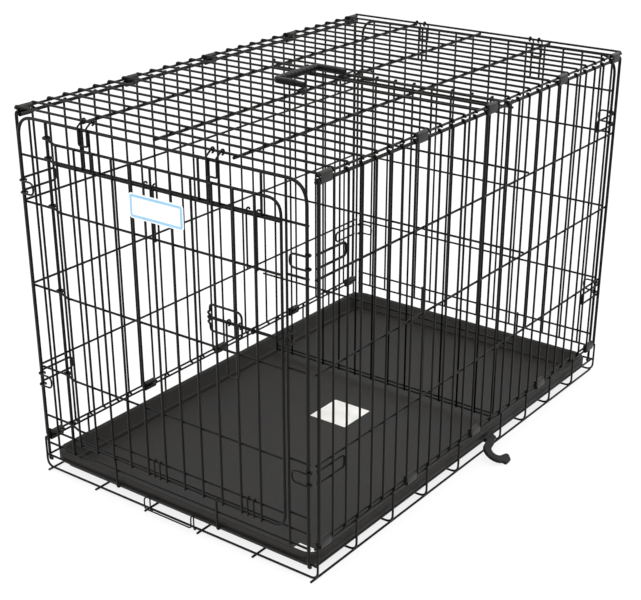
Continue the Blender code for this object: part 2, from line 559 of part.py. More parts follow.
# Divider panel across the cabin, standing just clear of the tray and its lift
DIVIDER_Y = 0.5 * (side_place(17) + side_place(18))
DIVIDER_SEAT = SIDE_MID - REST_GAP
DIVIDER_GUARD = 175.0 * MM
DIVIDER_TOP = SIDE_RAIL_TOP - 20.5 * MM
TRAY_SKIN = 2.4 * MM
TRAY_FLOOR_TOP = 2 * WIRE + REST_GAP + TRAY_SKIN
TRAY_LIFT = 6.0 * MM
DIVIDER_ROOM = 2.0 * MM
DIVIDER_FOOT = TRAY_FLOOR_TOP + TRAY_LIFT + DIVIDER_ROOM + 0.5 * WIRE
divider_uprights = (DIVIDER_Y - WIRE, DIVIDER_Y)
divider_rails = (DIVIDER_Y, DIVIDER_Y + WIRE)
divider_boxes = []
for step in range(END_UPRIGHTS):
    x = (step - 0.5 * (END_UPRIGHTS - 1)) * END_PITCH
    divider_boxes.append(post(x, divider_uprights, DIVIDER_FOOT - 0.5 * WIRE, DIVIDER_TOP + 0.5 * WIRE))
divider_half = END_POST - END_MARGIN + 0.5 * WIRE
for level in (DIVIDER_FOOT, DIVIDER_TOP):
    divider_boxes.append(rail(-divider_half, divider_half, divider_rails, level))
for level in (LEVEL_MIDDLE, LEVEL_UPPER):
    divider_boxes.append(rail(-DIVIDER_SEAT, DIVIDER_SEAT, divider_rails, level + WIRE + REST_GAP))
divider_boxes.append(rail(REST_GAP - SIDE_IN, SIDE_IN - REST_GAP, divider_rails, DIVIDER_GUARD))
hang_on(wire_paint(lattice("divider_panel", divider_boxes)), (0.0, DIVIDER_Y, DIVIDER_FOOT))

# Tray: thin moulded pan with sloping walls and a turned-down lip
TRAY_SIDE_ROOM = 3.4 * MM
TRAY_END_ROOM = 1.0 * MM
TRAY_HALF_X = SIDE_IN - TRAY_SIDE_ROOM
TRAY_FRONT = FLOOR_CROSS_FRONT + 0.5 * WIRE + TRAY_END_ROOM
TRAY_BACK = FLOOR_CROSS_BACK - 0.5 * WIRE - TRAY_END_ROOM
TRAY_LIP = 37.0 * MM
TRAY_SKIRT = 15.0 * MM
TRAY_LEDGE = 7.0 * MM
TRAY_SLOPE = 14.0 * MM
TRAY_CORNER = 30.0 * MM
CORNER_STEPS = 5
tray_profile = [
    (TRAY_SLOPE, TRAY_FLOOR_TOP - TRAY_SKIN), (TRAY_LEDGE, TRAY_LIP - TRAY_SKIN),
    (TRAY_SKIN, TRAY_LIP - TRAY_SKIN), (TRAY_SKIN, TRAY_LIP - TRAY_SKIRT), (0.0, TRAY_LIP - TRAY_SKIRT),
    (0.0, TRAY_LIP), (TRAY_LEDGE + TRAY_SKIN, TRAY_LIP), (TRAY_SLOPE + TRAY_SKIN, TRAY_FLOOR_TOP),
]
bm = bmesh.new()
tray_rings = []
for inset, z in tray_profile:
    ring = []
    for sx, sy, first in ((1, 1, 0), (-1, 1, 90), (-1, -1, 180), (1, -1, 270)):
        cx = sx * (TRAY_HALF_X - TRAY_CORNER)
        cy = (TRAY_BACK - TRAY_CORNER) if sy > 0 else (TRAY_FRONT + TRAY_CORNER)
        for x, y in arc((cx, cy), TRAY_CORNER - inset, first, first + 90, CORNER_STEPS):
            ring.append(bm.verts.new((x, y, z)))
    tray_rings.append(ring)
for lower, upper in zip(tray_rings[:-1], tray_rings[1:]):
    count = len(lower)
    for i in range(count):
        j = (i + 1) % count
        bm.faces.new((lower[i], lower[j], upper[j], upper[i]))
bm.faces.new(tray_rings[0])
bm.faces.new(tray_rings[-1])
paint(finish_mesh(bm, "tray"), (0.03, 0.028, 0.027), 0.55)

# Tray keeper: a bail that turns on the floor's front cross wire
BAIL_HALF = 47.0 * MM
BAIL_WIRE = 2.4 * MM
BAIL_HIGH = FLOOR_END_RAIL + 5.0 * MM
BAIL_LOW = FLOOR_END_RAIL - 17.0 * MM
BAIL_STEP = 9.0 * MM
BAIL_ROUND = 6.0 * MM
bail_centre = (FLOOR_CROSS_FRONT, 1.5 * WIRE)
bail_eye = WIRE_CORNER + SNAP_GAP + 0.5 * BAIL_WIRE
bail_ring = arc(bail_centre, bail_eye, -70.0, -180.0, 4)
stem_y = bail_centre[0] - bail_eye
bail_path = [(-BAIL_HALF, y, z) for y, z in bail_ring]
for hand in (-1.0, 1.0):
    leg = [
        (hand * BAIL_HALF, stem_y, BAIL_HIGH - 0.3 * BAIL_ROUND),
        (hand * (BAIL_HALF + 0.5 * BAIL_ROUND), stem_y - BAIL_STEP, BAIL_HIGH),
        (hand * (BAIL_HALF + 0.5 * BAIL_ROUND), stem_y - BAIL_STEP, BAIL_LOW + BAIL_ROUND),
        (hand * (BAIL_HALF - 0.5 * BAIL_ROUND), stem_y - BAIL_STEP, BAIL_LOW),
    ]
    bail_path += leg if hand < 0 else list(reversed(leg))
bail_path += [(BAIL_HALF, y, z) for y, z in reversed(bail_ring)]
hang_on(wire_paint(bent_wire("tray_keeper", bail_path, BAIL_WIRE)), (0.0, bail_centre[0], bail_centre[1]))

# Flip handle: two snap eyes on the middle bar, two arms and a ribbed grip
HANDLE_BAYS = (10, 13)
HANDLE_SPLAY = 6.0 * MM
HANDLE_REACH = 60.0 * MM
EYE_WIDTH = 12.0 * MM
EYE_WALL = 2.6 * MM
ARM_WIDTH = 9.6 * MM
GRIP_WIDTH = 13.0 * MM
RIB_COUNT = 7
RIB_WIDTH = 5.0 * MM
RIB_RISE = 0.8 * MM
handle_axis_z = TOP_LOW + 0.5 * WIRE
eye_inner = 0.5 * math.hypot(FRAME_WIRE, WIRE) + SNAP_GAP
eye_outer = eye_inner + EYE_WALL
snap = arc((0.0, handle_axis_z), eye_outer, -60.0, 240.0, 10)
snap += arc((0.0, handle_axis_z), eye_inner, 240.0, -60.0, 10)
handle_places = [
    0.5 * (side_place(HANDLE_BAYS[0]) + side_place(HANDLE_BAYS[0] + 1)) - HANDLE_SPLAY,
    0.5 * (side_place(HANDLE_BAYS[1]) + side_place(HANDLE_BAYS[1] + 1)) + HANDLE_SPLAY,
]
arm_z = (TOP_WIRES + 0.8 * MM, TOP_WIRES + 10.8 * MM)
neck_half = 4.0 * MM
handle_eyes = []
arm_boxes = []
for place in handle_places:
    handle_eyes.append(extrude_profile("handle_eye", snap, place - 0.5 * EYE_WIDTH, EYE_WIDTH, "y", cutters))
    band = (place - 0.5 * ARM_WIDTH, place + 0.5 * ARM_WIDTH)
    arm_boxes.append((-HANDLE_REACH, neck_half, band[0], band[1], arm_z[0], arm_z[1]))
    arm_boxes.append((-neck_half, neck_half, band[0], band[1], handle_axis_z + eye_inner + 0.2 * EYE_WALL, arm_z[0]))
grip_y = (handle_places[0] - 0.5 * ARM_WIDTH, handle_places[1] + 0.5 * ARM_WIDTH)
grip_x = (-HANDLE_REACH, -HANDLE_REACH + GRIP_WIDTH)
arm_boxes.append((grip_x[0], grip_x[1], grip_y[0], grip_y[1], arm_z[0], arm_z[1]))
rib_step = (grip_y[1] - grip_y[0]) / (RIB_COUNT + 1)
for rib in range(RIB_COUNT):
    y = grip_y[0] + (rib + 1) * rib_step
    low = y - 0.5 * RIB_WIDTH
    arm_boxes.append((grip_x[0] - RIB_RISE, grip_x[1] + RIB_RISE, low, low + RIB_WIDTH, arm_z[0], arm_z[1] + RIB_RISE))
handle = join_solids(lattice("carry_handle", arm_boxes), handle_eyes)
hang_on(paint(handle, (0.02, 0.02, 0.02), 0.5), (0.0, 0.0, handle_axis_z))

# Fold hook: a flat plastic J whose sleeve snaps round the right rim rail; it lies out on the floor
HOOK_SLEEVE = (44.0 * MM, 70.0 * MM)
HOOK_WALL = 1.6 * MM
HOOK_PLATE = 6.0 * MM
HOOK_SLOPE = math.radians(24.8)
HOOK_BEND = (31.0 * MM, 41.0 * MM)
HOOK_OUTER = 25.0 * MM
HOOK_INNER = 12.0 * MM
hook_axis = (0.5 * (SIDE_IN + SIDE_MID), FLOOR_END_RAIL)
hook_inner = WIRE_CORNER + SNAP_GAP
hook_outer = hook_inner + HOOK_WALL
sleeve = arc((0.0, 0.0), hook_outer, -115.0, 115.0, 10) + arc((0.0, 0.0), hook_inner, 115.0, -115.0, 10)
sleeve_length = HOOK_SLEEVE[1] - HOOK_SLEEVE[0]
hook_sleeve = extrude_profile("hook_sleeve", sleeve, HOOK_SLEEVE[0], sleeve_length, "y", cutters)
root_s = 0.5 * (hook_inner + hook_outer)
barb_s = HOOK_BEND[0] + HOOK_INNER
tab_s = HOOK_BEND[0] + HOOK_OUTER + 2.0 * MM
tab_y = HOOK_BEND[1] + 14.0 * MM
hook_outline = [(root_s, HOOK_SLEEVE[1]), (root_s, HOOK_SLEEVE[0])]
hook_outline += arc(HOOK_BEND, HOOK_OUTER, 185.0, 340.0, 8)
hook_outline += [(tab_s, HOOK_BEND[1] + 1.0 * MM), (tab_s - 3.0 * MM, tab_y), (barb_s - 2.0 * MM, tab_y - 2.0 * MM)]
hook_outline += arc(HOOK_BEND, HOOK_INNER, 350.0, 180.0, 7)
hook_outline += [(HOOK_BEND[0] - HOOK_OUTER + 5.0 * MM, tab_y), (root_s + 5.0 * MM, HOOK_SLEEVE[1])]
hook_plate = extrude_profile("side_hook", hook_outline, -0.5 * HOOK_PLATE, HOOK_PLATE, "z")
side_hook = paint(join_solids(hook_plate, [hook_sleeve]), (0.02, 0.02, 0.02), 0.5)
side_hook.location = (hook_axis[0], 0.0, hook_axis[1])
side_hook.rotation_euler = (0.0, HOOK_SLOPE, 0.0)

# Label plate on the door
LABEL_WIDTH = 105.0 * MM
LABEL_HEIGHT = 38.5 * MM
LABEL_SKIN = 1.0 * MM
label_x = 0.5 * (DOOR_LEFT + DOOR_RIGHT) - 2.5 * MM
label_z = LEVEL_HEADER - 29.0 * MM
label_y = DOOR_OUT - REST_GAP - LABEL_SKIN
label_box = (label_x - 0.5 * LABEL_WIDTH, label_x + 0.5 * LABEL_WIDTH, label_y, label_y + LABEL_SKIN,
             label_z - 0.5 * LABEL_HEIGHT, label_z + 0.5 * LABEL_HEIGHT)
label = hang_on(paint(lattice("door_label", [label_box]), (0.75, 0.78, 0.8), 0.4), door.location)
label.location = (0.0, 0.0, 0.0)
label.parent = door

# Paper sheet and a sticker on the tray floor
SHEET_SKIN = 0.6 * MM
STICKER_SIZE = (50.0 * MM, 29.0 * MM)
sheet_z = (TRAY_FLOOR_TOP + REST_GAP, TRAY_FLOOR_TOP + REST_GAP + SHEET_SKIN)
sticker_x = TRAY_HALF_X - TRAY_SLOPE - TRAY_SKIN - 2.0 * MM
sticker_y = TRAY_FRONT + TRAY_SLOPE + TRAY_SKIN + 9.0 * MM
sheet_box = (-33.0 * MM, 45.0 * MM, -38.0 * MM, 41.0 * MM, sheet_z[0], sheet_z[1])
sticker_box = (sticker_x - STICKER_SIZE[0], sticker_x, sticker_y, sticker_y + STICKER_SIZE[1], sheet_z[0], sheet_z[1])
paint(lattice("tray_sheet", [sheet_box]), (0.5, 0.5, 0.48), 0.6)
paint(lattice("tray_sticker", [sticker_box]), (0.6, 0.6, 0.58), 0.6)

# The middle of the footprint goes to the origin
bpy.context.view_layer.update()
reach = []
for piece in parts.objects:
    if piece.type == "MESH":
        reach += [piece.matrix_world @ corner.co for corner in piece.data.vertices]
middle_x = 0.5 * (min(point.x for point in reach) + max(point.x for point in reach))
middle_y = 0.5 * (min(point.y for point in reach) + max(point.y for point in reach))
for piece in parts.objects:
    if piece.type == "MESH" and piece.parent is None:
        piece.parent = footprint
footprint.location = (-middle_x, -middle_y, 0.0)
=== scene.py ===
"""Looks of a folding wire dog crate: round coated wire, sheet clips, moulded tray and labels."""
import math

import bmesh
import bpy
from mathutils import Euler, Matrix, Vector


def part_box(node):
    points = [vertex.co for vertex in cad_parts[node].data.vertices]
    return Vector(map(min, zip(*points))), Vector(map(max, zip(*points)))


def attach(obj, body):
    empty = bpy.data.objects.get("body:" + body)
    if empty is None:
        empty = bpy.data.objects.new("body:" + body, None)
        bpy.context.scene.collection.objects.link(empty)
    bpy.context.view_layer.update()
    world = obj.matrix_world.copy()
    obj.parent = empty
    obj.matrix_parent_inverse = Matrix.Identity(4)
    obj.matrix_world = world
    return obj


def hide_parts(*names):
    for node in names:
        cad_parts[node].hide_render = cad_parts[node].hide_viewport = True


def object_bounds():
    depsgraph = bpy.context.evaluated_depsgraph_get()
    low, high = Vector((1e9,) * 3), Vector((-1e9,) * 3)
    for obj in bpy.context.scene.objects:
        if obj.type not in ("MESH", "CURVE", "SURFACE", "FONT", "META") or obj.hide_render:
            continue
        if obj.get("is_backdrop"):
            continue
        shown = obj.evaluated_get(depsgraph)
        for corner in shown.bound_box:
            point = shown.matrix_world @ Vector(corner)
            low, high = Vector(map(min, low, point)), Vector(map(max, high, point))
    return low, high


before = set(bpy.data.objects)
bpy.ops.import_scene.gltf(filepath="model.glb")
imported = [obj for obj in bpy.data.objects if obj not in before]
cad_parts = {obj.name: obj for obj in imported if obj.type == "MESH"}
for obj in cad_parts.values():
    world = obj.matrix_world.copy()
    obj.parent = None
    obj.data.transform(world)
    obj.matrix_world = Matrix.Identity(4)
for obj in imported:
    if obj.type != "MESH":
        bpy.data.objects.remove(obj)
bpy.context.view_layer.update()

# Side panels
# Welded grilles of drawn steel wire with a black coating. The uprights curl over the top rail and under
# the bottom rail, the two end posts are thicker, and short lock wires near each corner end in hooks
# round the second upright. Lengths are in millimetres, seen from the middle of the cage: the fold hook
# lies out on the floor at one side, so that isn't the middle of the frame.
MM = 0.001
WIRE_R = 1.9
FRAME_R = 2.7
LAYER = 2 * WIRE_R
WIRE_STEPS = 8
CAGE_BACK = 465.4
cage_x = 0.5 * (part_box("left_side_panel")[0][0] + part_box("right_side_panel")[1][0]) / MM
cage_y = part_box("back_panel")[1][1] / MM - CAGE_BACK
SHIFT = Vector((cage_x, cage_y, 0.0))


def edges(node):
    """Lowest and highest corner of a CAD node, in millimetres from the middle of the cage."""
    return [[value / MM - move for value, move in zip(corner, SHIFT)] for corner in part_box(node)]


def linear(code):
    """A linear colour from an sRGB hex code."""
    channels = [int(code[i:i + 2], 16) / 255.0 for i in (1, 3, 5)]
    turned = [c / 12.92 if c <= 0.04045 else ((c + 0.055) / 1.055) ** 2.4 for c in channels]
    return (turned[0], turned[1], turned[2], 1.0)


def add_node(tree, kind, inputs=None, links=None, **settings):
    """One node with its settings, its constant inputs and the sockets that feed it."""
    node = tree.nodes.new(kind)
    for key, value in settings.items():
        setattr(node, key, value)
    for key, value in (inputs or {}).items():
        node.inputs[key].default_value = value
    for key, socket in (links or {}).items():
        tree.links.new(socket, node.inputs[key])
    return node


def surface(name, dark, light, rough, grain, height, patch=55.6, gloss=0.5):
    """A coated or moulded surface: patchy colour, uneven gloss and a fine bump.

    The grain's and the patches' width and the grain's height are in millimetres.
    """
    uneven = 0.08
    material = bpy.data.materials.new(name)
    material.use_nodes = True
    tree = material.node_tree
    shader = tree.nodes["Principled BSDF"]
    shader.inputs["Specular IOR Level"].default_value = gloss
    place = add_node(tree, "ShaderNodeTexCoord").outputs["Object"]
    patches = add_node(tree, "ShaderNodeTexNoise", {"Scale": 1 / (patch * MM), "Detail": 5.0},
                       {"Vector": place})
    tint = add_node(tree, "ShaderNodeValToRGB", None, {"Fac": patches.outputs["Fac"]})
    for stop, position, code in zip(tint.color_ramp.elements, (0.3, 0.72), (dark, light)):
        stop.position = position
        stop.color = linear(code)
    spread = add_node(tree, "ShaderNodeMapRange", {"To Min": rough - uneven, "To Max": rough + uneven},
                      {"Value": patches.outputs["Fac"]})
    fine = add_node(tree, "ShaderNodeTexNoise", {"Scale": 1 / (grain * MM), "Detail": 4.0}, {"Vector": place})
    bump = add_node(tree, "ShaderNodeBump", {"Strength": 0.6, "Distance": height * MM},
                    {"Height": fine.outputs["Fac"]})
    tree.links.new(tint.outputs["Color"], shader.inputs["Base Color"])
    tree.links.new(spread.outputs["Result"], shader.inputs["Roughness"])
    tree.links.new(bump.outputs["Normal"], shader.inputs["Normal"])
    return material


# Baked black coating on drawn steel wire: near black with a dull sheen and a faint orange peel, which
# is finer than a pixel of the render and only softens the highlights
WIRE_COAT = surface("wire_coat", "#050404", "#0e0c0a", 0.38, 1.11, 0.12, gloss=0.16)


def wire_tree():
    """Geometry Nodes: sweep a round section along the curves, repeat along a line, keep real geometry."""
    tree = bpy.data.node_groups.new("repeated_round_wire", "GeometryNodeTree")
    sockets = {}
    for name, kind in (("Geometry", "Geometry"), ("Radius", "Float"), ("Sides", "Int"),
                       ("Count", "Int"), ("Step", "Vector"), ("Material", "Material")):
        socket = tree.interface.new_socket(name=name, in_out="INPUT", socket_type="NodeSocket" + kind)
        sockets[name] = socket.identifier
    tree.interface.new_socket(name="Geometry", in_out="OUTPUT", socket_type="NodeSocketGeometry")
    given = add_node(tree, "NodeGroupInput").outputs
    section = add_node(tree, "GeometryNodeCurvePrimitiveCircle", None,
                       {"Resolution": given["Sides"], "Radius": given["Radius"]})
    sweep = add_node(tree, "GeometryNodeCurveToMesh", {"Fill Caps": True},
                     {"Curve": given["Geometry"], "Profile Curve": section.outputs["Curve"]})
    line = add_node(tree, "GeometryNodeMeshLine", None, {"Count": given["Count"], "Offset": given["Step"]},
                    mode="OFFSET", count_mode="TOTAL")
    spread = add_node(tree, "GeometryNodeInstanceOnPoints", None,
                      {"Points": line.outputs["Mesh"], "Instance": sweep.outputs["Mesh"]})
    real = add_node(tree, "GeometryNodeRealizeInstances", None, {"Geometry": spread.outputs["Instances"]})
    smooth = add_node(tree, "GeometryNodeSetShadeSmooth", None, {"Geometry": real.outputs["Geometry"]})
    paint = add_node(tree, "GeometryNodeSetMaterial", None,
                     {"Geometry": smooth.outputs["Geometry"], "Material": given["Material"]})
    add_node(tree, "NodeGroupOutput", None, {"Geometry": paint.outputs["Geometry"]})
    return tree, sockets


WIRE_TREE, WIRE_SOCKETS = wire_tree()


def bend(points, radius, steps=5):
    """Round the corners of a polyline of millimetre points."""
    places = [Vector(p) for p in points]
    out = [places[0]]
    for before, corner, after in zip(places[:-2], places[1:-1], places[2:]):
        into = (before - corner).normalized()
        away = (after - corner).normalized()
        angle = into.angle(away)
        if angle > math.pi - 0.01:
            out.append(corner)
            continue
        shorter = min((before - corner).length, (after - corner).length)
        reach = min(radius / math.tan(angle / 2), 0.49 * shorter)
        start = corner + into * reach
        stop = corner + away * reach
        for step in range(steps + 1):
            t = step / steps
            out.append(start.lerp(corner, t).lerp(corner.lerp(stop, t), t))
    out.append(places[-1])
    return out


def ring(centre, radius, start, stop, plane, fixed, steps=WIRE_STEPS):
    """Arc in a plane: 'xy', 'xz' or 'yz', angles in degrees, with the third coordinate fixed."""
    out = []
    for step in range(steps + 1):
        angle = math.radians(start + (stop - start) * step / steps)
        a = centre[0] + radius * math.cos(angle)
        b = centre[1] + radius * math.sin(angle)
        out.append({"xy": (a, b, fixed), "xz": (a, fixed, b), "yz": (fixed, a, b)}[plane])
    return out


def mirrored(path):
    """The same path on the other side of the cage, run backwards."""
    return [(-x, y, z) for x, y, z in reversed(path)]


def make_piece(name, mesh_data, body, nodes=()):
    """Move a finished mesh from the cage's middle to the frame's, and let it ride on a body."""
    mesh_data.transform(Matrix.Translation(SHIFT * MM))
    piece = bpy.data.objects.new(name, mesh_data)
    bpy.context.scene.collection.objects.link(piece)
    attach(piece, body)
    if nodes:
        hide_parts(*nodes)
    return piece


def wires(name, runs, body, node):
    """One piece out of runs of wire. A run is (radius, paths) or (radius, paths, count, step)."""
    sides = 10
    joined = bmesh.new()
    for radius, paths, *repeat in runs:
        count, step = repeat or (1, (0.0, 0.0, 0.0))
        curve = bpy.data.curves.new(name + "_path", "CURVE")
        curve.dimensions = "3D"
        for path in paths:
            spline = curve.splines.new("POLY")
            spline.points.add(len(path) - 1)
            for point, place in zip(spline.points, path):
                point.co = (place[0] * MM, place[1] * MM, place[2] * MM, 1.0)
        holder = bpy.data.objects.new(name + "_path", curve)
        bpy.context.scene.collection.objects.link(holder)
        modifier = holder.modifiers.new("round_wire", "NODES")
        modifier.node_group = WIRE_TREE
        modifier[WIRE_SOCKETS["Radius"]] = radius * MM
        modifier[WIRE_SOCKETS["Sides"]] = sides
        modifier[WIRE_SOCKETS["Count"]] = count
        modifier[WIRE_SOCKETS["Step"]] = [value * MM for value in step]
        modifier[WIRE_SOCKETS["Material"]] = WIRE_COAT
        bpy.context.view_layer.update()
        depsgraph = bpy.context.evaluated_depsgraph_get()
        swept = bpy.data.meshes.new_from_object(holder.evaluated_get(depsgraph), depsgraph=depsgraph)
        joined.from_mesh(swept)
        bpy.data.objects.remove(holder, do_unlink=True)
        bpy.data.meshes.remove(swept)
    for face in joined.faces:
        face.material_index = 0
    mesh_data = bpy.data.meshes.new(name)
    joined.to_mesh(mesh_data)
    joined.free()
    mesh_data.materials.append(WIRE_COAT)
    return make_piece(name, mesh_data, body, [node])


SIDE_LOW, SIDE_HIGH = edges("right_side_panel")
SIDE_UPRIGHTS = SIDE_HIGH[0] - WIRE_R
SIDE_RAILS = SIDE_UPRIGHTS - LAYER
POST_HALF = 2.8
SIDE_TOP = SIDE_HIGH[2] - POST_HALF
SIDE_BOTTOM = SIDE_LOW[2] + WIRE_R
UPPER, MIDDLE, LOWER = 484.0, 343.0, 198.0
SIDE_BAYS = 27
SIDE_FIRST = SIDE_LOW[1] + POST_HALF
SIDE_LAST = SIDE_HIGH[1] - POST_HALF
SIDE_PITCH = (SIDE_LAST - SIDE_FIRST) / SIDE_BAYS
POST_INSET = 0.6
TOP_RAIL_OUT = 0.2
LOCKS = (510.0, 177.0)
LOCK_HALF = 10.0
LOCK_BAYS = 2
LOCK_BEND = 8.0


def side_place(index):
    """Where an upright stands along the side."""
    return SIDE_FIRST + index * SIDE_PITCH


def side_panel(name, hand):
    """One side panel: hand is 1 at the right of the door and -1 at its left."""
    rails = hand * SIDE_RAILS
    post = hand * (SIDE_UPRIGHTS - POST_INSET)
    top_rail = rails + hand * TOP_RAIL_OUT
    y0, y1 = SIDE_LOW[1], SIDE_HIGH[1]
    head = ring((0.0, SIDE_TOP), LAYER, 0.0, 130.0, "xz", side_place(0))
    foot = ring((0.0, SIDE_BOTTOM), LAYER, -120.0, 0.0, "xz", side_place(0))
    upright = [(hand * (SIDE_RAILS + x), y, z) for x, y, z in foot + head]
    posts = [[(post, y, SIDE_BOTTOM), (post, y, SIDE_TOP)] for y in (side_place(0), side_place(SIDE_BAYS))]
    locks = []
    for centre in LOCKS:
        low, high = centre - LOCK_HALF, centre + LOCK_HALF
        for first, last in ((0, LOCK_BAYS), (SIDE_BAYS, SIDE_BAYS - LOCK_BAYS)):
            near, far = side_place(first), side_place(last)
            corners = [(rails, near, low), (rails, far, low), (rails, far, high), (rails, near, high)]
            locks.append(bend(corners, LOCK_BEND))
    rail_paths = [[(rails, y0, z), (rails, y1, z)] for z in (LOWER, MIDDLE, UPPER, SIDE_BOTTOM)]
    runs = [(WIRE_R, [upright], SIDE_BAYS + 1, (0.0, SIDE_PITCH, 0.0)),
            (FRAME_R, posts),
            (WIRE_R, rail_paths),
            (FRAME_R, [[(top_rail, y0, SIDE_TOP), (top_rail, y1, SIDE_TOP)]]),
            (WIRE_R, locks)]
    wires(name + "_wires", runs, "crate", name)


side_panel("left_side_panel", -1.0)
side_panel("right_side_panel", 1.0)

# Top panel
# A welded grille of the same wire. Its cross wires wrap down round the two side rails, and three
# thick bars run the length of the crate underneath them.
TOP_LOW, TOP_HIGH = edges("top_panel")
TOP_CROSS = TOP_HIGH[2] - WIRE_R
TOP_RAILS = TOP_CROSS - LAYER
TOP_RAIL_X = SIDE_RAILS - 0.1
TOP_BARS = (-147.0, 0.0, 147.0)
TOP_BAR_R = 2.4
TOP_BAR_DROP = 0.2


def along_top(x, z):
    """A wire down the length of the top panel."""
    return [(x, TOP_LOW[1], z), (x, TOP_HIGH[1], z)]


half_turn = ring((TOP_RAIL_X, TOP_RAILS), LAYER, 90.0, -15.0, "xz", side_place(0))
top_runs = [(WIRE_R, [mirrored(half_turn) + half_turn], SIDE_BAYS + 1, (0.0, SIDE_PITCH, 0.0)),
            (WIRE_R, [along_top(x, TOP_RAILS) for x in (-TOP_RAIL_X, TOP_RAIL_X)]),
            (TOP_BAR_R, [along_top(x, TOP_RAILS - TOP_BAR_DROP) for x in TOP_BARS])]
wires("top_panel_wires", top_runs, "crate", "top_panel")

# Floor basket
# A shallow welded basket that the crate stands on. Two groups of cross wires leave a wide bay between
# them, turn up at both sides and curl round the side rails. The long wires lie underneath.
FRONT_FACE = edges("floor_basket")[0][1]
BACK_FACE = edges("back_panel")[1][1]
FRONT_UPRIGHTS = FRONT_FACE + WIRE_R
BACK_UPRIGHTS = BACK_FACE - WIRE_R
HINGE_DROP = WIRE_R + 2.99
FLOOR_FIRST = FRONT_UPRIGHTS + HINGE_DROP
FLOOR_LAST = BACK_UPRIGHTS - HINGE_DROP
FLOOR_RAIL = edges("floor_basket")[1][2] - WIRE_R
FLOOR_END_RAIL = 28.0
FLOOR_LONG_Z = WIRE_R
FLOOR_CROSS_Z = FLOOR_LONG_Z + LAYER
FLOOR_LONG = (-282.0, -169.0, -56.5, 56.5, 169.0, 282.0)
FLOOR_GROUP = 5
FLOOR_BEND = 14.0
WIDE_BAY = (-47.5, 94.5)
floor_runs = []
for first, last in ((FLOOR_FIRST, WIDE_BAY[0]), (WIDE_BAY[1], FLOOR_LAST)):
    curl = ring((SIDE_RAILS, FLOOR_RAIL), LAYER, 0.0, 70.0, "xz", first, 6)
    cross_wire = bend([(-SIDE_UPRIGHTS, first, FLOOR_RAIL), (-SIDE_UPRIGHTS, first, FLOOR_CROSS_Z),
                       (SIDE_UPRIGHTS, first, FLOOR_CROSS_Z), (SIDE_UPRIGHTS, first, FLOOR_RAIL)],
                      FLOOR_BEND, WIRE_STEPS)
    step = (0.0, (last - first) / (FLOOR_GROUP - 1), 0.0)
    floor_runs.append((WIRE_R, [mirrored(curl) + cross_wire + curl], FLOOR_GROUP, step))
long_paths = [[(x, FRONT_FACE, FLOOR_LONG_Z), (x, BACK_FACE, FLOOR_LONG_Z)] for x in FLOOR_LONG]
for x in (-SIDE_RAILS, SIDE_RAILS):
    for z in (FLOOR_END_RAIL, FLOOR_RAIL):
        long_paths.append([(x, FLOOR_FIRST - WIRE_R, z), (x, FLOOR_LAST + WIRE_R, z)])
for y in (FLOOR_FIRST, FLOOR_LAST):
    long_paths.append([(-SIDE_UPRIGHTS, y, FLOOR_END_RAIL), (SIDE_UPRIGHTS, y, FLOOR_END_RAIL)])
floor_runs.append((WIRE_R, long_paths))
wires("floor_basket_wires", floor_runs, "crate", "floor_basket")

# End panels
# Posts and top rail are one thick bent wire with round corners, with rails and thin uprights welded on.
# The feet are the ends of the posts and of two legs, each turned under the floor's end rail, which is
# what the panel folds on. The front panel leaves the doorway open.
FRONT_RAILS = FRONT_UPRIGHTS + LAYER
BACK_RAILS = BACK_UPRIGHTS - LAYER
END_POST = edges("front_panel")[1][0] - POST_HALF
END_TOP = edges("front_panel")[1][2] - WIRE_R
END_PITCH = 38.29
END_UPRIGHTS = 14
END_FIRST = -0.5 * (END_UPRIGHTS - 1) * END_PITCH
HEADER, SILL, APRON, FOOT = 560.0, 107.0, 80.0, 54.0
LOW_END = FOOT - WIRE_R
HINGE_X = -215.0
KEEPER_UPRIGHT = 242.0
STRIP_UPRIGHT = -251.0
HEAD_UPRIGHTS = (-106.0, 88.0, 200.0)
HOOK_CENTRES = (-133.0, 116.5)
HOOK_HALF = 9.0
FRONT_LEGS = (-118.0, 98.0)
BACK_LEGS = (-3.0 * END_PITCH, 3.0 * END_PITCH)
END_FRAME_R = 2.5
HINGE_WIRE_R = 2.6
CORNER_BEND = 34.0


def end_frame(y):
    """Posts and top rail as one wire."""
    corners = [(-END_POST, y, LOW_END), (-END_POST, y, END_TOP),
               (END_POST, y, END_TOP), (END_POST, y, LOW_END)]
    return bend(corners, CORNER_BEND, 10)


def end_rail(y, level, x0=-END_POST, x1=END_POST):
    """A level wire of an end panel."""
    return [(x0, y, level), (x1, y, level)]


def end_upright(x, y, low=LOW_END):
    """A wire of an end panel that stands up to its top rail."""
    return [(x, y, low), (x, y, END_TOP)]


def head_pairs(y):
    """The pairs of short uprights over the header, one pair behind each top catch."""
    return [end_upright(centre + side, y, HEADER - WIRE_R)
            for centre in HOOK_CENTRES for side in (-HOOK_HALF, HOOK_HALF)]


def feet(prefix, y, hinge_y, toward_in, legs):
    """The four feet of an end panel, each a piece of its own."""
    for number, x in enumerate((-END_POST,) + legs + (END_POST,)):
        radius, top = (WIRE_R, APRON + WIRE_R) if x in legs else (END_FRAME_R, LOW_END)
        turn = ring((0.0, FLOOR_END_RAIL), HINGE_DROP, 180.0, 272.0, "yz", 0.0)
        path = [(x, y, top)] + [(x, hinge_y + toward_in * a, b) for _, a, b in turn]
        name = prefix + "_foot_" + str(number + 1)
        wires(name + "_wire", [(radius, [path])], prefix + "_end", name)


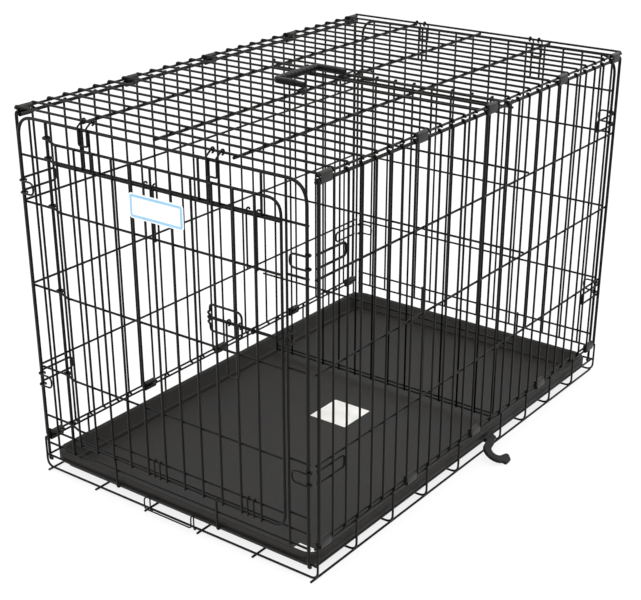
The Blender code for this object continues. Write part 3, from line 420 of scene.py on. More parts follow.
front_paths = []
for level in (SILL, LOWER, MIDDLE, UPPER):
    front_paths.append(end_rail(FRONT_RAILS, level, -END_POST, HINGE_X))
    front_paths.append(end_rail(FRONT_RAILS, level, KEEPER_UPRIGHT, END_POST))
front_paths += [end_rail(FRONT_RAILS, level) for level in (FOOT, APRON, HEADER)]
front_paths += [end_upright(x, FRONT_UPRIGHTS) for x in (STRIP_UPRIGHT, KEEPER_UPRIGHT)]
front_paths += [end_upright(x, FRONT_UPRIGHTS, HEADER - WIRE_R) for x in HEAD_UPRIGHTS]
front_paths += head_pairs(FRONT_UPRIGHTS)
front_runs = [(END_FRAME_R, [end_frame(FRONT_UPRIGHTS)]),
              (WIRE_R, front_paths),
              (HINGE_WIRE_R, [end_upright(HINGE_X, FRONT_UPRIGHTS)])]
wires("front_panel_wires", front_runs, "front_end", "front_panel")
feet("front", FRONT_UPRIGHTS, FLOOR_FIRST, 1.0, FRONT_LEGS)

back_paths = [end_rail(BACK_RAILS, level) for level in (FOOT, APRON, LOWER, MIDDLE, UPPER, HEADER)]
back_paths += head_pairs(BACK_UPRIGHTS)
back_runs = [(END_FRAME_R, [end_frame(BACK_UPRIGHTS)]),
             (WIRE_R, back_paths),
             (WIRE_R, [end_upright(END_FIRST, BACK_UPRIGHTS)], END_UPRIGHTS, (END_PITCH, 0.0, 0.0))]
wires("back_panel_wires", back_runs, "back_end", "back_panel")
feet("back", BACK_UPRIGHTS, FLOOR_LAST, -1.0, BACK_LEGS)

# Bolt keeper
# A bent ring of thinner wire, welded to the upright beside the door and standing out in front of it.
# The bolt's tip slides into it from the left.
BOLT_Z = 395.0
KEEPER_X = 256.0
KEEPER_HALF = 8.0
KEEPER_R = 1.5
KEEPER_LAP = 1.0
KEEPER_BEND = 4.0
keeper_front = edges("bolt_keeper")[0][1] + KEEPER_R
keeper_path = []
for z, out in ((BOLT_Z + KEEPER_HALF, 1), (BOLT_Z - KEEPER_HALF, -1)):
    arm = [(KEEPER_UPRIGHT + KEEPER_LAP, FRONT_UPRIGHTS, z), (KEEPER_X, FRONT_UPRIGHTS, z),
           (KEEPER_X, keeper_front, z)]
    keeper_path += arm[::out]
wires("bolt_keeper_wire", [(KEEPER_R, [bend(keeper_path, KEEPER_BEND)])], "front_end", "bolt_keeper")

# Door
# One bent wire makes the right stile with the top and bottom rails. The rails' left ends ring the hinge
# upright, thin hook legs hang over two of the rails, and two bent guides hold the slide bolt.
DOOR_RAILS = FRONT_UPRIGHTS - 1.5 * LAYER + 1.1
DOOR_UPRIGHTS = DOOR_RAILS - LAYER
DOOR_TOP, DOOR_BOTTOM = 591.0, 81.0
DOOR_RIGHT = 237.0
DOOR_FIRST = -188.0
DOOR_PITCH = 38.3
DOOR_BARS = 11
STILE_R = 2.2
STILE_BEND = 24.0
STILE_FOOT = DOOR_FIRST - 14.0
EYE_GAP = 0.3
EYE_R = FRAME_R + EYE_GAP + WIRE_R
EYE_LIFT = 6.0
LEG_R = 1.4
UPPER_LEGS, UPPER_LEG_HALF = (-1.0, 189.0), 9.0
LOWER_LEGS, LOWER_LEG_HALF = (-16.5, 174.0), 6.0
LEG_OVER = 5.0
GUIDE_HALF = 4.0
GUIDE_BEND = 3.0
BOLT_LOW, BOLT_HIGH = edges("slide_bolt")
BOLT_Y = 0.5 * (BOLT_LOW[1] + BOLT_HIGH[1])


def hinge_ring(level):
    """The rail's end: it rises beside the hinge upright and rings it."""
    lead = [(DOOR_FIRST - 7.0, DOOR_RAILS, level), (HINGE_X + 6.0, DOOR_RAILS, level + EYE_LIFT)]
    return lead + ring((HINGE_X, FRONT_UPRIGHTS), EYE_R, -90.0, -370.0, "xy", level + EYE_LIFT, 16)


def hook_leg(x, foot, crook, stop, steps):
    """A thin wire up the front of the door that ends in a crook over a rail."""
    return [(x, DOOR_UPRIGHTS, foot)] + ring((DOOR_RAILS, crook), LAYER, 180.0, stop, "yz", x, steps)


top_ring = list(reversed(hinge_ring(DOOR_TOP)))
stile = bend([top_ring[-1], (DOOR_RIGHT, DOOR_RAILS, DOOR_TOP), (DOOR_RIGHT, DOOR_RAILS, DOOR_BOTTOM),
              (STILE_FOOT, DOOR_RAILS, DOOR_BOTTOM)], STILE_BEND, WIRE_STEPS)
door_rails = [[(DOOR_RIGHT, DOOR_RAILS, level)] + hinge_ring(level)
              for level in (HEADER, UPPER, MIDDLE, LOWER, SILL)]
door_bar = [(DOOR_FIRST, DOOR_UPRIGHTS, DOOR_BOTTOM - WIRE_R), (DOOR_FIRST, DOOR_UPRIGHTS, DOOR_TOP + WIRE_R)]
hook_legs = []
for side in (-1.0, 1.0):
    for centre in UPPER_LEGS:
        hook_legs.append(hook_leg(centre + side * UPPER_LEG_HALF, UPPER - WIRE_R, HEADER + LEG_OVER, 10.0, 8))
    for centre in LOWER_LEGS:
        hook_legs.append(hook_leg(centre + side * LOWER_LEG_HALF, DOOR_BOTTOM - WIRE_R, SILL, 60.0, 6))
guides = []
guide_front = BOLT_Y - GUIDE_HALF
for x in (DOOR_FIRST + (DOOR_BARS - 1) * DOOR_PITCH, DOOR_RIGHT):
    guides.append(bend([(x, DOOR_UPRIGHTS, BOLT_Z + GUIDE_HALF), (x, guide_front, BOLT_Z + GUIDE_HALF),
                        (x, guide_front, BOLT_Z - GUIDE_HALF), (x, DOOR_UPRIGHTS, BOLT_Z - GUIDE_HALF)],
                       GUIDE_BEND))
door_runs = [(STILE_R, [top_ring[:-1] + stile]),
             (WIRE_R, door_rails),
             (WIRE_R, [door_bar], DOOR_BARS, (DOOR_PITCH, 0.0, 0.0)),
             (LEG_R, hook_legs),
             (LEG_R, guides)]
wires("door_wires", door_runs, "door", "door")

# Slide bolt and drop loop
# A hairpin of thin wire slides in the door's guides, with a welded paddle that is wavy on its left side.
# The drop loop is a long bail that hangs on the hairpin by two open eyes.
HAIRPIN_R = 1.3
HAIRPIN_HALF = 1.25
HAIRPIN_TAIL = BOLT_LOW[0] + 1.5
HAIRPIN_TIP = BOLT_HIGH[0] - HAIRPIN_R
PADDLE_R = 1.7
PADDLE_RIGHT = 174.3
PADDLE_BEND = 10.0
PADDLE_CORNER = BOLT_LOW[0] + 6.0
PADDLE_LOW, PADDLE_HIGH = BOLT_LOW[2] + PADDLE_R, BOLT_HIGH[2] - PADDLE_R
WAVE_STEPS = 24
WAVE_TURNS = 3
WAVE_DEPTH = 1.7
hairpin = bend([(HAIRPIN_TAIL, BOLT_Y, BOLT_Z - HAIRPIN_HALF), (HAIRPIN_TIP, BOLT_Y, BOLT_Z - HAIRPIN_HALF),
                (HAIRPIN_TIP, BOLT_Y, BOLT_Z + HAIRPIN_HALF), (HAIRPIN_TAIL, BOLT_Y, BOLT_Z + HAIRPIN_HALF)],
               HAIRPIN_HALF)
wave = []
for step in range(WAVE_STEPS + 1):
    t = step / WAVE_STEPS
    z = PADDLE_LOW + PADDLE_BEND + t * (PADDLE_HIGH - PADDLE_LOW - 2 * PADDLE_BEND)
    x = BOLT_LOW[0] + 2 * WAVE_DEPTH + WAVE_DEPTH * math.cos(t * WAVE_TURNS * 2 * math.pi)
    wave.append((x, BOLT_Y, z))
paddle = bend([wave[0], (PADDLE_CORNER, BOLT_Y, PADDLE_LOW), (PADDLE_RIGHT, BOLT_Y, PADDLE_LOW),
               (PADDLE_RIGHT, BOLT_Y, PADDLE_HIGH), (PADDLE_CORNER, BOLT_Y, PADDLE_HIGH), wave[-1]],
              PADDLE_BEND)
bolt_runs = [(HAIRPIN_R, [hairpin]), (PADDLE_R, [paddle + list(reversed(wave))])]
wires("slide_bolt_wires", bolt_runs, "bolt", "slide_bolt")

LOOP_R = 1.5
LOOP_EYE = 2 * HAIRPIN_R + EYE_GAP + LOOP_R
LOOP_BEND = 13.0
LOOP_LOW, LOOP_HIGH = edges("drop_loop")
loop_left, loop_right = LOOP_LOW[0] + LOOP_R, LOOP_HIGH[0] - LOOP_R
loop_low = LOOP_LOW[2] + LOOP_R
left_eye = ring((BOLT_Y, BOLT_Z), LOOP_EYE, -90.0, 180.0, "yz", loop_left, 14)
right_eye = [(loop_right, y, z) for _, y, z in reversed(left_eye)]
loop_base = bend([left_eye[-1], (loop_left, BOLT_Y - LOOP_EYE, loop_low),
                  (loop_right, BOLT_Y - LOOP_EYE, loop_low), right_eye[0]], LOOP_BEND, WIRE_STEPS)
wires("drop_loop_wire", [(LOOP_R, [left_eye + loop_base[1:-1] + right_eye])], "drop_loop", "drop_loop")

# Top catches
# Small wire bails that ring the top panel's end wires and hang down over the end panels. They are
# swung up by hand before an end panel folds in.
CATCH_R = 1.5
CATCH_EYE = WIRE_R + EYE_GAP + CATCH_R
CATCH_OUT = 2.0
CATCH_NECK = 6.0
CATCH_FOOT = 1.6
CATCH_BEND = 7.0
ENDS = (("front", -1.0, FRONT_FACE, side_place(0)), ("back", 1.0, BACK_FACE, side_place(SIDE_BAYS)))
for end, toward, face, wire_y in ENDS:
    plane = face + toward * CATCH_OUT
    for side, centre in zip(("left", "right"), HOOK_CENTRES):
        name = "_".join(("top_catch", end, side))
        low_z = edges(name)[0][2]
        catch_eye = ring((0.0, TOP_CROSS), CATCH_EYE, -100.0, 165.0, "yz", 0.0, 12)
        profile = [(wire_y - toward * a, b) for _, a, b in catch_eye]
        profile += [(plane, TOP_CROSS - CATCH_NECK), (plane, low_z + CATCH_BEND)]
        x0, x1 = centre - HOOK_HALF, centre + HOOK_HALF
        left = [(x0, a, b) for a, b in profile]
        right = [(x1, a, b) for a, b in reversed(profile)]
        foot_z = low_z + CATCH_FOOT
        base = bend([left[-1], (x0, plane, foot_z), (x1, plane, foot_z), right[0]], CATCH_BEND)
        wires(name + "_wire", [(CATCH_R, [left[:-1] + base + right[1:]])], name, name)

# Corner loops
# Flat D loops of wire whose two eyes turn on the end panels' posts. They swing round the corner and
# hook into the side panels' lock wires.
CORNER_R = 1.6
CORNER_EYE = FRAME_R + EYE_GAP + 1.7
CORNER_REACH = 26.0
CORNER_BOW = 9.0
for end, post_y, toward in (("front", FRONT_UPRIGHTS, -1.0), ("back", BACK_UPRIGHTS, 1.0)):
    for side, hand in (("left", -1.0), ("right", 1.0)):
        for level, centre in zip(("upper", "lower"), LOCKS):
            name = "_".join(("corner_loop", end, side, level))
            turn = ring((0.0, 0.0), CORNER_EYE, 20.0, 270.0, "xy", 0.0, 16)
            corner_eye = [(hand * END_POST - hand * a, post_y - toward * b) for a, b, _ in turn]
            bow_y = post_y + toward * CORNER_EYE
            tip = hand * (END_POST - CORNER_REACH)
            low_z, high_z = centre - LOCK_HALF, centre + LOCK_HALF
            low_run = [(a, b, low_z) for a, b in corner_eye]
            high_run = [(a, b, high_z) for a, b in reversed(corner_eye)]
            bow = bend([low_run[-1], (tip, bow_y, low_z), (tip, bow_y, high_z), high_run[0]], CORNER_BOW)
            wires(name + "_wire", [(CORNER_R, [low_run + bow[1:-1] + high_run])], name, name)

# Divider panel
# A loose welded grille that parts the cage in two. Its middle and upper rails rest on the side panels'
# rails, its uprights end in small curls, and two more rails stiffen it at the top and the bottom.
DIVIDER_LOW, DIVIDER_HIGH = edges("divider_panel")
DIVIDER_SEAT = DIVIDER_HIGH[0] - 0.2
DIVIDER_Y = DIVIDER_LOW[1] + WIRE_R + LAYER
DIVIDER_BOTTOM, DIVIDER_TOP = DIVIDER_LOW[2] + WIRE_R, DIVIDER_HIGH[2] - WIRE_R
DIVIDER_SPAN = WIRE_R - END_FIRST
DIVIDER_SHORT = SIDE_RAILS - 2.2
DIVIDER_SHORT_Z = 175.0
SEAT_LIFT = LAYER + EYE_GAP
curl_top = ring((DIVIDER_Y, DIVIDER_TOP), LAYER, 180.0, 40.0, "yz", END_FIRST, 6)
curl_low = ring((DIVIDER_Y, DIVIDER_BOTTOM), LAYER, 310.0, 180.0, "yz", END_FIRST, 6)
divider_bar = [(x, y, max(z, DIVIDER_BOTTOM)) for x, y, z in curl_low] + curl_top
divider_levels = [(DIVIDER_SEAT, MIDDLE + SEAT_LIFT), (DIVIDER_SEAT, UPPER + SEAT_LIFT),
                  (DIVIDER_SHORT, DIVIDER_SHORT_Z),
                  (DIVIDER_SPAN, DIVIDER_BOTTOM), (DIVIDER_SPAN, DIVIDER_TOP),
                  (DIVIDER_SPAN, DIVIDER_BOTTOM + 7.0), (DIVIDER_SPAN, DIVIDER_TOP - 8.0)]
divider_runs = [(WIRE_R, [divider_bar], END_UPRIGHTS, (END_PITCH, 0.0, 0.0)),
                (WIRE_R, [end_rail(DIVIDER_Y, level, -reach, reach) for reach, level in divider_levels])]
wires("divider_panel_wires", divider_runs, "divider", "divider_panel")

# Tray keeper
# A thin wire bail that keeps the tray from sliding out: eyes round the floor's front cross wire, stems
# up and a low bow in front of the tray's lip.
BAIL_R = 1.2
BAIL_EYE = WIRE_R + EYE_GAP + BAIL_R
BAIL_HALF = 47.0
BOW_HALF = BAIL_HALF + 3.0
BAIL_BEND = 5.0
BOW_LOW, STEM_LOW, STEM_HIGH, BOW_HIGH = 12.0, 24.0, 31.0, 32.0
bow_y = edges("tray_keeper")[0][1] + 1.4
bail_eye = ring((FLOOR_FIRST, FLOOR_CROSS_Z), BAIL_EYE, -60.0, -180.0, "yz", -BAIL_HALF)
stem_y = bail_eye[-1][1]
half_bow = [(-BAIL_HALF, stem_y, STEM_LOW), (-BAIL_HALF, stem_y, STEM_HIGH), (-BOW_HALF, bow_y, BOW_HIGH),
            (-BOW_HALF, bow_y, BOW_LOW)]
bail = bail_eye + bend(half_bow + mirrored(half_bow), BAIL_BEND) + mirrored(bail_eye)
wires("tray_keeper_wire", [(BAIL_R, [bail])], "tray_keeper", "tray_keeper")

# Sheet clips
# Short sleeves of blackened sheet steel, rolled round two rails at a time to hold the side panels to the
# top and the floor. They are open on the inside, and their ends are a little drawn in.
CLIP_RADIUS = 4.2
CLIP_SHEET = 1.1
CLIP_SLIT = 1.6
CLIP_ROUND = 12
CLIP_DRAWN = ((0.0, 0.5), (0.5, 0.2), (1.2, 0.0))
# Blackened sheet steel: a little greyer and duller than the wire's coating
CLIP_STEEL = surface("clip_steel", "#141313", "#292725", 0.45, 1.67, 0.1, gloss=0.3)


def shell(name, rows, material):
    """A smooth open mesh through rows of millimetre points."""
    form = bmesh.new()
    placed = [[form.verts.new((x * MM, y * MM, z * MM)) for x, y, z in row] for row in rows]
    for row, after in zip(placed[:-1], placed[1:]):
        for i in range(len(row) - 1):
            form.faces.new((row[i], row[i + 1], after[i + 1], after[i]))
    mesh_data = bpy.data.meshes.new(name)
    form.to_mesh(mesh_data)
    form.free()
    mesh_data.materials.append(material)
    mesh_data.shade_smooth()
    return mesh_data


def sleeve(node, low_rail, high_rail, hand):
    """One rolled clip round the two rails at the given heights."""
    low, high = edges(node)
    middle = 0.5 * (low_rail + high_rail)
    under = ring((0.0, low_rail), CLIP_RADIUS, 180.0, 360.0, "xz", 0.0, CLIP_ROUND)
    over = ring((0.0, high_rail), CLIP_RADIUS, 0.0, 180.0, "xz", 0.0, CLIP_ROUND)
    lips = [(-CLIP_RADIUS, 0.0, middle + side) for side in (-CLIP_SLIT, CLIP_SLIT)]
    outline = lips[:1] + under + over + lips[1:]
    stations = [(low[1] + along, drawn) for along, drawn in CLIP_DRAWN]
    stations += [(high[1] - along, drawn) for along, drawn in reversed(CLIP_DRAWN)]
    rows = []
    for y, drawn in stations:
        grow = 1.0 - drawn / CLIP_RADIUS * 0.6
        rows.append([(hand * (SIDE_RAILS + a * grow), y, b) for a, _, b in outline])
    piece = make_piece(node + "_sleeve", shell(node + "_sleeve", rows, CLIP_STEEL), "crate", [node])
    thick = piece.modifiers.new("sheet", "SOLIDIFY")
    thick.thickness = CLIP_SHEET * MM
    thick.offset = 0.0
    thick.use_even_offset = True


for kind, low_rail, high_rail in (("top_clip", SIDE_TOP, TOP_RAILS), ("foot_clip", FLOOR_RAIL, SIDE_BOTTOM)):
    for side, hand in (("left", -1.0), ("right", 1.0)):
        for number in range(1, 6):
            sleeve("_".join((kind, side, str(number))), low_rail, high_rail, hand)

# Tray
# A removable pan, moulded in one from grained plastic: a rolled lip with a raised rim, sloping walls,
# and a floor with a faint raised border.
TRAY_LOW, TRAY_HIGH = edges("tray")
TRAY_SKIN = 2.4
TRAY_CORNER = 30.0
CORNER_STEPS = 12
QUARTERS = ((1, 1, 0), (-1, 1, 90), (-1, -1, 180), (1, -1, 270))
# Grained polyethylene: dark grey with a broad soft reflection, in patches a hand wide. The grain is
# drawn coarser than the real one, so that it still breaks up the reflection.
TRAY_PLASTIC = surface("tray_plastic", "#191716", "#201e1c", 0.5, 0.625, 0.25, patch=167.0, gloss=0.25)


def solid(name, loops, material, sharp=None):
    """A closed mesh through closed loops of millimetre points, capped at both ends."""
    form = bmesh.new()
    rings = [[form.verts.new(Vector(place) * MM) for place in loop] for loop in loops]
    for lower, upper in zip(rings[:-1], rings[1:]):
        for i in range(len(lower)):
            j = (i + 1) % len(lower)
            form.faces.new((lower[i], lower[j], upper[j], upper[i]))
    form.faces.new(rings[0])
    form.faces.new(rings[-1])
    bmesh.ops.recalc_face_normals(form, faces=form.faces)
    mesh_data = bpy.data.meshes.new(name)
    form.to_mesh(mesh_data)
    form.free()
    mesh_data.materials.append(material)
    if sharp:
        mesh_data.shade_smooth()
        mesh_data.set_sharp_from_angle(angle=math.radians(sharp))
    return mesh_data


def rounded(low, high, inset, radius, steps):
    """A rectangle with rounded corners, shrunk by the inset, as points in its own plane."""
    points = []
    for sx, sy, first in QUARTERS:
        cx = (high[0] if sx > 0 else low[0]) - sx * (inset + radius)
        cy = (high[1] if sy > 0 else low[1]) - sy * (inset + radius)
        for step in range(steps + 1):
            angle = math.radians(first + 90.0 * step / steps)
            points.append((cx + radius * math.cos(angle), cy + radius * math.sin(angle)))
    return points


base, lip = TRAY_LOW[2], TRAY_HIGH[2]
pan = base + TRAY_SKIN
tray_profile = [
    (16.5, base), (14.0, base + 0.5), (8.4, lip - TRAY_SKIN - 1.0), (7.0, lip - TRAY_SKIN),
    (2.4, lip - TRAY_SKIN), (2.0, lip - 4.0), (2.0, lip - 15.0), (0.2, lip - 15.0), (0.0, lip - 14.5),
    (0.0, lip - 2.0), (0.6, lip - 0.6), (2.0, lip), (3.6, lip), (4.2, lip - 0.8), (6.4, lip - 0.8),
    (7.0, lip - 0.1), (8.6, lip - 0.3), (9.8, lip - 1.8), (15.6, pan + 2.2), (17.4, pan + 0.5),
    (20.0, pan), (26.0, pan), (26.6, pan + 0.5), (29.4, pan + 0.5), (30.0, pan),
]
tray_loops = []
for inset, z in tray_profile:
    corner = max(TRAY_CORNER - inset, 1.0)
    outline = rounded((-TRAY_HIGH[0], TRAY_LOW[1]), TRAY_HIGH, inset, corner, CORNER_STEPS)
    tray_loops.append([(x, y, z) for x, y in outline])
make_piece("tray_pan", solid("tray_pan", tray_loops, TRAY_PLASTIC, 50.0), "tray", ["tray"])

# Carry handle
# A flat moulded U of black plastic with a ribbed grip and two snap eyes. The eyes turn on the top
# panel's middle bar, so that the handle flips over to the other side.
HANDLE_LOW, HANDLE_HIGH = edges("carry_handle")
HANDLE_Z = TOP_HIGH[2] + 6.3
EYE_WIDTH = 12.0
HANDLE_ENDS = (HANDLE_LOW[1] + 0.5 * EYE_WIDTH, HANDLE_HIGH[1] - 0.5 * EYE_WIDTH)
GRIP_X = HANDLE_LOW[0] + 7.9
GRIP_WIDTH, GRIP_HEIGHT = 13.6, 10.0
GRIP_INSET = 9.0
GRIP_STEPS = 200
GRIP_RIBS = 9
RIB_RISE = 0.09
ARM_WIDTH, ARM_HEIGHT = 11.0, 10.4
ARM_STEPS = 6
ARM_BEND = 13.0
SNAP_R = 5.0
SNAP_INSET = 0.6
SNAP_WALL = 2.0
SNAP_ROUND = 0.4
# Moulded polypropylene: black with a soft sheen, the fine spark-eroded grain only dulls it
BLACK_PLASTIC = surface("black_plastic", "#060606", "#0e0e0e", 0.42, 0.714, 0.15, gloss=0.15)


def moulded_bar(name, path, width, height, swell, nodes):
    """A moulded bar: a squarish round section swept along a level path, swollen by the given function."""
    around, square = 20, 0.55
    last = len(path) - 1
    loops = []
    for i, place in enumerate(path):
        ahead = Vector(path[min(i + 1, last)]) - Vector(path[max(i - 1, 0)])
        across = Vector((ahead.y, -ahead.x, 0.0)).normalized()
        grow = swell(i / last)
        loop = []
        for k in range(around):
            c, s = math.cos(2 * math.pi * k / around), math.sin(2 * math.pi * k / around)
            u = math.copysign(abs(c) ** square, c) * 0.5 * width * grow
            v = math.copysign(abs(s) ** square, s) * 0.5 * height * grow
            loop.append(Vector(place) + across * u + Vector((0.0, 0.0, v)))
        loops.append(loop)
    make_piece(name, solid(name, loops, BLACK_PLASTIC, 60.0), "handle", nodes)


def ribs(t):
    """The grip's ribs, as a growth of its section."""
    return 1.0 + RIB_RISE * abs(math.sin(t * GRIP_RIBS * math.pi))


def taper(t):
    """The arms thicken from their eyes to the grip."""
    return 0.85 + 0.15 * min(1.0, 3.0 * t)


grip_start = HANDLE_ENDS[0] + GRIP_INSET
grip_length = HANDLE_ENDS[1] - GRIP_INSET - grip_start
grip_path = [(GRIP_X, grip_start + grip_length * step / (GRIP_STEPS - 1), HANDLE_Z)
             for step in range(GRIP_STEPS)]
moulded_bar("handle_grip", grip_path, GRIP_WIDTH, GRIP_HEIGHT, ribs, ["carry_handle"])
for number, (y, inward) in enumerate(zip(HANDLE_ENDS, (1.0, -1.0))):
    arm = bend([(4.0, y, HANDLE_Z - 1.0), (-14.0, y, HANDLE_Z), (GRIP_X, y, HANDLE_Z),
                (GRIP_X, y + 16.0 * inward, HANDLE_Z)], ARM_BEND, WIRE_STEPS)
    arm_path = []
    for start, stop in zip(arm[:-1], arm[1:]):
        arm_path += [Vector(start).lerp(Vector(stop), step / ARM_STEPS) for step in range(ARM_STEPS)]
    arm_path.append(Vector(arm[-1]))
    moulded_bar("handle_arm_" + str(number + 1), arm_path, ARM_WIDTH, ARM_HEIGHT, taper, [])
    snap = ring((0.0, TOP_RAILS), SNAP_R, -60.0, 240.0, "xz", y, 24)
    snap_half = 0.5 * EYE_WIDTH - SNAP_INSET
    snap_rows = [[(x, y + offset, z) for x, _, z in snap] for offset in (-snap_half, snap_half)]
    eye = make_piece("handle_eye_" + str(number + 1), shell("handle_eye", snap_rows, BLACK_PLASTIC), "handle")
    wall = eye.modifiers.new("wall", "SOLIDIFY")
    wall.thickness = SNAP_WALL * MM
    wall.offset = 0.0
    round_edges = eye.modifiers.new("round", "BEVEL")
    round_edges.width = SNAP_ROUND * MM
    round_edges.segments = 2

# Fold hook
# A flat moulded J of the same plastic, with a sleeve that snaps round the lower side rail. It holds the
# folded crate shut, and hangs out on the floor while the crate stands.
HOOK_SLOPE = math.radians(24.8)
HOOK_MIDDLE = (31.0, 41.0)
HOOK_OUTER, HOOK_INNER = 25.0, 11.0
HOOK_THICK_HALF = 3.0
HOOK_STEPS = 28
HOOK_ROUND = 0.9
SLEEVE_OUTER, SLEEVE_INNER = 4.8, 3.2
SLEEVE_OPEN = 115.0
SLEEVE_Y = (44.0, 70.0)
hook_shank = [(3.6, 70.0, 0.0), (3.6, 46.0, 0.0)]
hook_tip = [(50.5, 25.5, 0.0), (52.5, 29.5, 0.0), (59.0, 31.5, 0.0), (59.0, 45.0, 0.0), (47.0, 55.0, 0.0),
            (40.0, 43.0, 0.0)]
hook_throat = [(17.5, 52.0, 0.0), (13.0, 58.0, 0.0), (12.0, 66.0, 0.0), (9.0, 70.0, 0.0)]
hook_outline = hook_shank + ring(HOOK_MIDDLE, HOOK_OUTER, 190.0, 318.0, "xy", 0.0, HOOK_STEPS)
hook_outline += bend(hook_tip, 5.0, 6)[1:-1]
hook_outline += ring(HOOK_MIDDLE, HOOK_INNER, 335.0, 190.0, "xy", 0.0, HOOK_STEPS) + hook_throat
sleeve_outline = ring((0.0, 0.0), SLEEVE_OUTER, -SLEEVE_OPEN, SLEEVE_OPEN, "xz", 0.0, 24)
sleeve_outline += ring((0.0, 0.0), SLEEVE_INNER, SLEEVE_OPEN, -SLEEVE_OPEN, "xz", 0.0, 24)
hook_loops = [[(a, b, z) for a, b, _ in hook_outline] for z in (-HOOK_THICK_HALF, HOOK_THICK_HALF)]
sleeve_loops = [[(a, y, b) for a, _, b in sleeve_outline] for y in SLEEVE_Y]
hook_turn = Matrix.Rotation(HOOK_SLOPE, 4, "Y")
hook_turn = Matrix.Translation((SIDE_RAILS, 0.0, FLOOR_END_RAIL)) @ hook_turn
hook_form = bmesh.new()
for loops in (hook_loops, sleeve_loops):
    placed = [[hook_turn @ Vector(place) for place in loop] for loop in loops]
    half_hook = solid("side_hook_half", placed, BLACK_PLASTIC)
    hook_form.from_mesh(half_hook)
    bpy.data.meshes.remove(half_hook)
hook_mesh = bpy.data.meshes.new("side_hook_body")
hook_form.to_mesh(hook_mesh)
hook_form.free()
hook_mesh.materials.append(BLACK_PLASTIC)
hook_piece = make_piece("side_hook_body", hook_mesh, "side_hook", ["side_hook"])
soft_edges = hook_piece.modifiers.new("soft_edges", "BEVEL")
soft_edges.width = HOOK_ROUND * MM
soft_edges.segments = 3
soft_edges.limit_method = "ANGLE"
soft_edges.angle_limit = math.radians(50.0)

# Label, paper sheet and sticker
# A plain white plate with a printed pale blue band hangs on the door's wires. A paper sheet and a small
# sticker lie in the tray.
PLATE_CORNER = 5.0
PLATE_STEPS = 6
BAND_INSET = 2.0
BAND_WIDTH = 3.6
BAND_CORNER = 4.0
SHEET_CORNER = 1.5
# Coated card: smooth and white, with a satin light on it
PLATE_WHITE = surface("plate_white", "#dfe5e8", "#eef2f4", 0.35, 3.33, 0.03)
# The band printed on it: pale blue, as smooth as the card
PLATE_BORDER = surface("plate_border", "#86b5d6", "#9cc5df", 0.35, 3.33, 0.03)
# Uncoated paper: a warmer white without gloss
PAPER = surface("paper", "#d4d3cf", "#e6e5e1", 0.75, 1.43, 0.1, patch=33.3)
# Vinyl film of the sticker: off-white, duller than the card
STICKER_WHITE = surface("sticker_white", "#dcdcd8", "#ecece8", 0.5, 3.33, 0.03)

LABEL_LOW, LABEL_HIGH = edges("door_label")
label_outline = rounded(LABEL_LOW[::2], LABEL_HIGH[::2], 0.0, PLATE_CORNER, PLATE_STEPS)
label_loops = [[(x, y, z) for x, z in label_outline] for y in (LABEL_LOW[1], LABEL_HIGH[1])]
make_piece("door_plate", solid("door_plate", label_loops, PLATE_WHITE), "door", ["door_label"])

band_back, band_front = LABEL_LOW[1] - 0.02, LABEL_LOW[1] - 0.3
band_outer = rounded(LABEL_LOW[::2], LABEL_HIGH[::2], BAND_INSET, BAND_CORNER, PLATE_STEPS)
band_inner = rounded(LABEL_LOW[::2], LABEL_HIGH[::2], BAND_INSET + BAND_WIDTH, 0.6, PLATE_STEPS)
band_form = bmesh.new()
band_rings = []
for outline, y in ((band_outer, band_front), (band_outer, band_back), (band_inner, band_back),
                   (band_inner, band_front)):
    band_rings.append([band_form.verts.new((x * MM, y * MM, z * MM)) for x, z in outline])
for ring_now, ring_next in zip(band_rings, band_rings[1:] + band_rings[:1]):
    for i in range(len(ring_now)):
        j = (i + 1) % len(ring_now)
        band_form.faces.new((ring_now[i], ring_now[j], ring_next[j], ring_next[i]))
bmesh.ops.recalc_face_normals(band_form, faces=band_form.faces)
band_mesh = bpy.data.meshes.new("door_plate_band")
band_form.to_mesh(band_mesh)
band_form.free()
band_mesh.materials.append(PLATE_BORDER)
make_piece("door_plate_band", band_mesh, "door")

for node, name, material in (("tray_sheet", "paper_sheet", PAPER),
                             ("tray_sticker", "sticker", STICKER_WHITE)):
    low, high = edges(node)
    outline = rounded(low, high, 0.0, SHEET_CORNER, PLATE_STEPS)
    sheet = solid(name, [[(x, y, z) for x, y in outline] for z in (low[2], high[2])], material)
    make_piece(name, sheet, "tray", [node])

# Floor, light and camera
# A white studio floor that keeps a soft shadow, four soft lamps round the crate and a white backdrop.
# The camera stands where the photograph was taken from.
WHITE = (1.0, 1.0, 1.0, 1.0)
FLOOR_REACH = 12.0
FLOOR_GLOW = 0.8
floor_mesh = bpy.data.meshes.new("studio_floor")
floor_corners = [(sx * FLOOR_REACH, sy * FLOOR_REACH, 0.0) for sx, sy in ((-1, -1), (1, -1), (1, 1), (-1, 1))]
floor_mesh.from_pydata(floor_corners, [], [(0, 1, 2, 3)])
studio_floor = bpy.data.objects.new("studio_floor", floor_mesh)
bpy.context.scene.collection.objects.link(studio_floor)
floor_paint = bpy.data.materials.new("studio_white")
floor_paint.use_nodes = True
paint_tree = floor_paint.node_tree
paint_tree.nodes.clear()
matt = add_node(paint_tree, "ShaderNodeBsdfDiffuse", {"Color": WHITE})
lit = add_node(paint_tree, "ShaderNodeEmission", {"Color": WHITE, "Strength": 1.0})
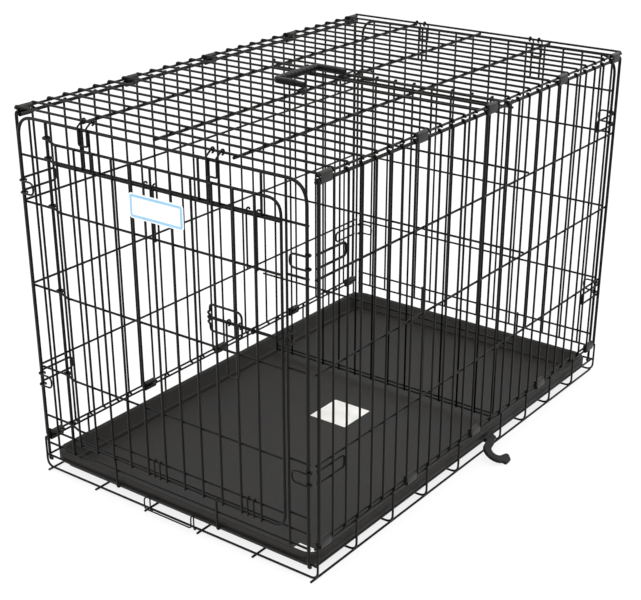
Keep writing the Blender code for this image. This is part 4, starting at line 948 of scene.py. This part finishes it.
share = add_node(paint_tree, "ShaderNodeMixShader", {"Fac": FLOOR_GLOW},
                 {1: matt.outputs["BSDF"], 2: lit.outputs["Emission"]})
add_node(paint_tree, "ShaderNodeOutputMaterial", None, {"Surface": share.outputs["Shader"]})
floor_mesh.materials.append(floor_paint)
studio_floor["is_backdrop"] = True

LIT_POINT = Vector((0.0, 0.0, 0.3))
for name, place, size, power in (("key", (1.4, -2.6, 2.8), 2.2, 42.0), ("fill", (-2.6, -1.6, 1.8), 2.5, 20.0),
                                 ("top", (0.0, 0.2, 3.2), 3.0, 34.0), ("rim", (0.8, 3.0, 2.2), 2.0, 20.0)):
    light_data = bpy.data.lights.new(name, "AREA")
    light_data.size = size
    light_data.energy = power
    light = bpy.data.objects.new(name, light_data)
    light.location = place
    light.rotation_euler = (LIT_POINT - Vector(place)).to_track_quat("-Z", "Y").to_euler()
    bpy.context.scene.collection.objects.link(light)

world = bpy.data.worlds.new("studio")
world.use_nodes = True
bpy.context.scene.world = world
world.node_tree.nodes.clear()
backdrop = add_node(world.node_tree, "ShaderNodeBackground", {"Color": WHITE, "Strength": 1.0})
add_node(world.node_tree, "ShaderNodeOutputWorld", None, {"Surface": backdrop.outputs["Background"]})

SENSOR = 36.0
IMAGE_WIDTH = 641.0
IMAGE_HEIGHT = 600.0
FOCAL_PIXELS = 1348.9
AXIS_ROW = 360.6
CAMERA_PLACE = Vector((1.2982, -1.7883, 1.159))
CAMERA_TURN = (64.754, 0.037, 36.741)
camera_data = bpy.data.cameras.new("photo_camera")
camera_data.sensor_fit = "HORIZONTAL"
camera_data.sensor_width = SENSOR
camera_data.lens = FOCAL_PIXELS / IMAGE_WIDTH * SENSOR
camera_data.shift_y = (AXIS_ROW - 0.5 * IMAGE_HEIGHT) / IMAGE_WIDTH
camera = bpy.data.objects.new("photo_camera", camera_data)
camera.location = CAMERA_PLACE + SHIFT * MM
camera.rotation_euler = Euler([math.radians(angle) for angle in CAMERA_TURN])
bpy.context.scene.collection.objects.link(camera)
bpy.context.scene.camera = camera
bpy.context.scene.view_settings.view_transform = "Standard"

low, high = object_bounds()
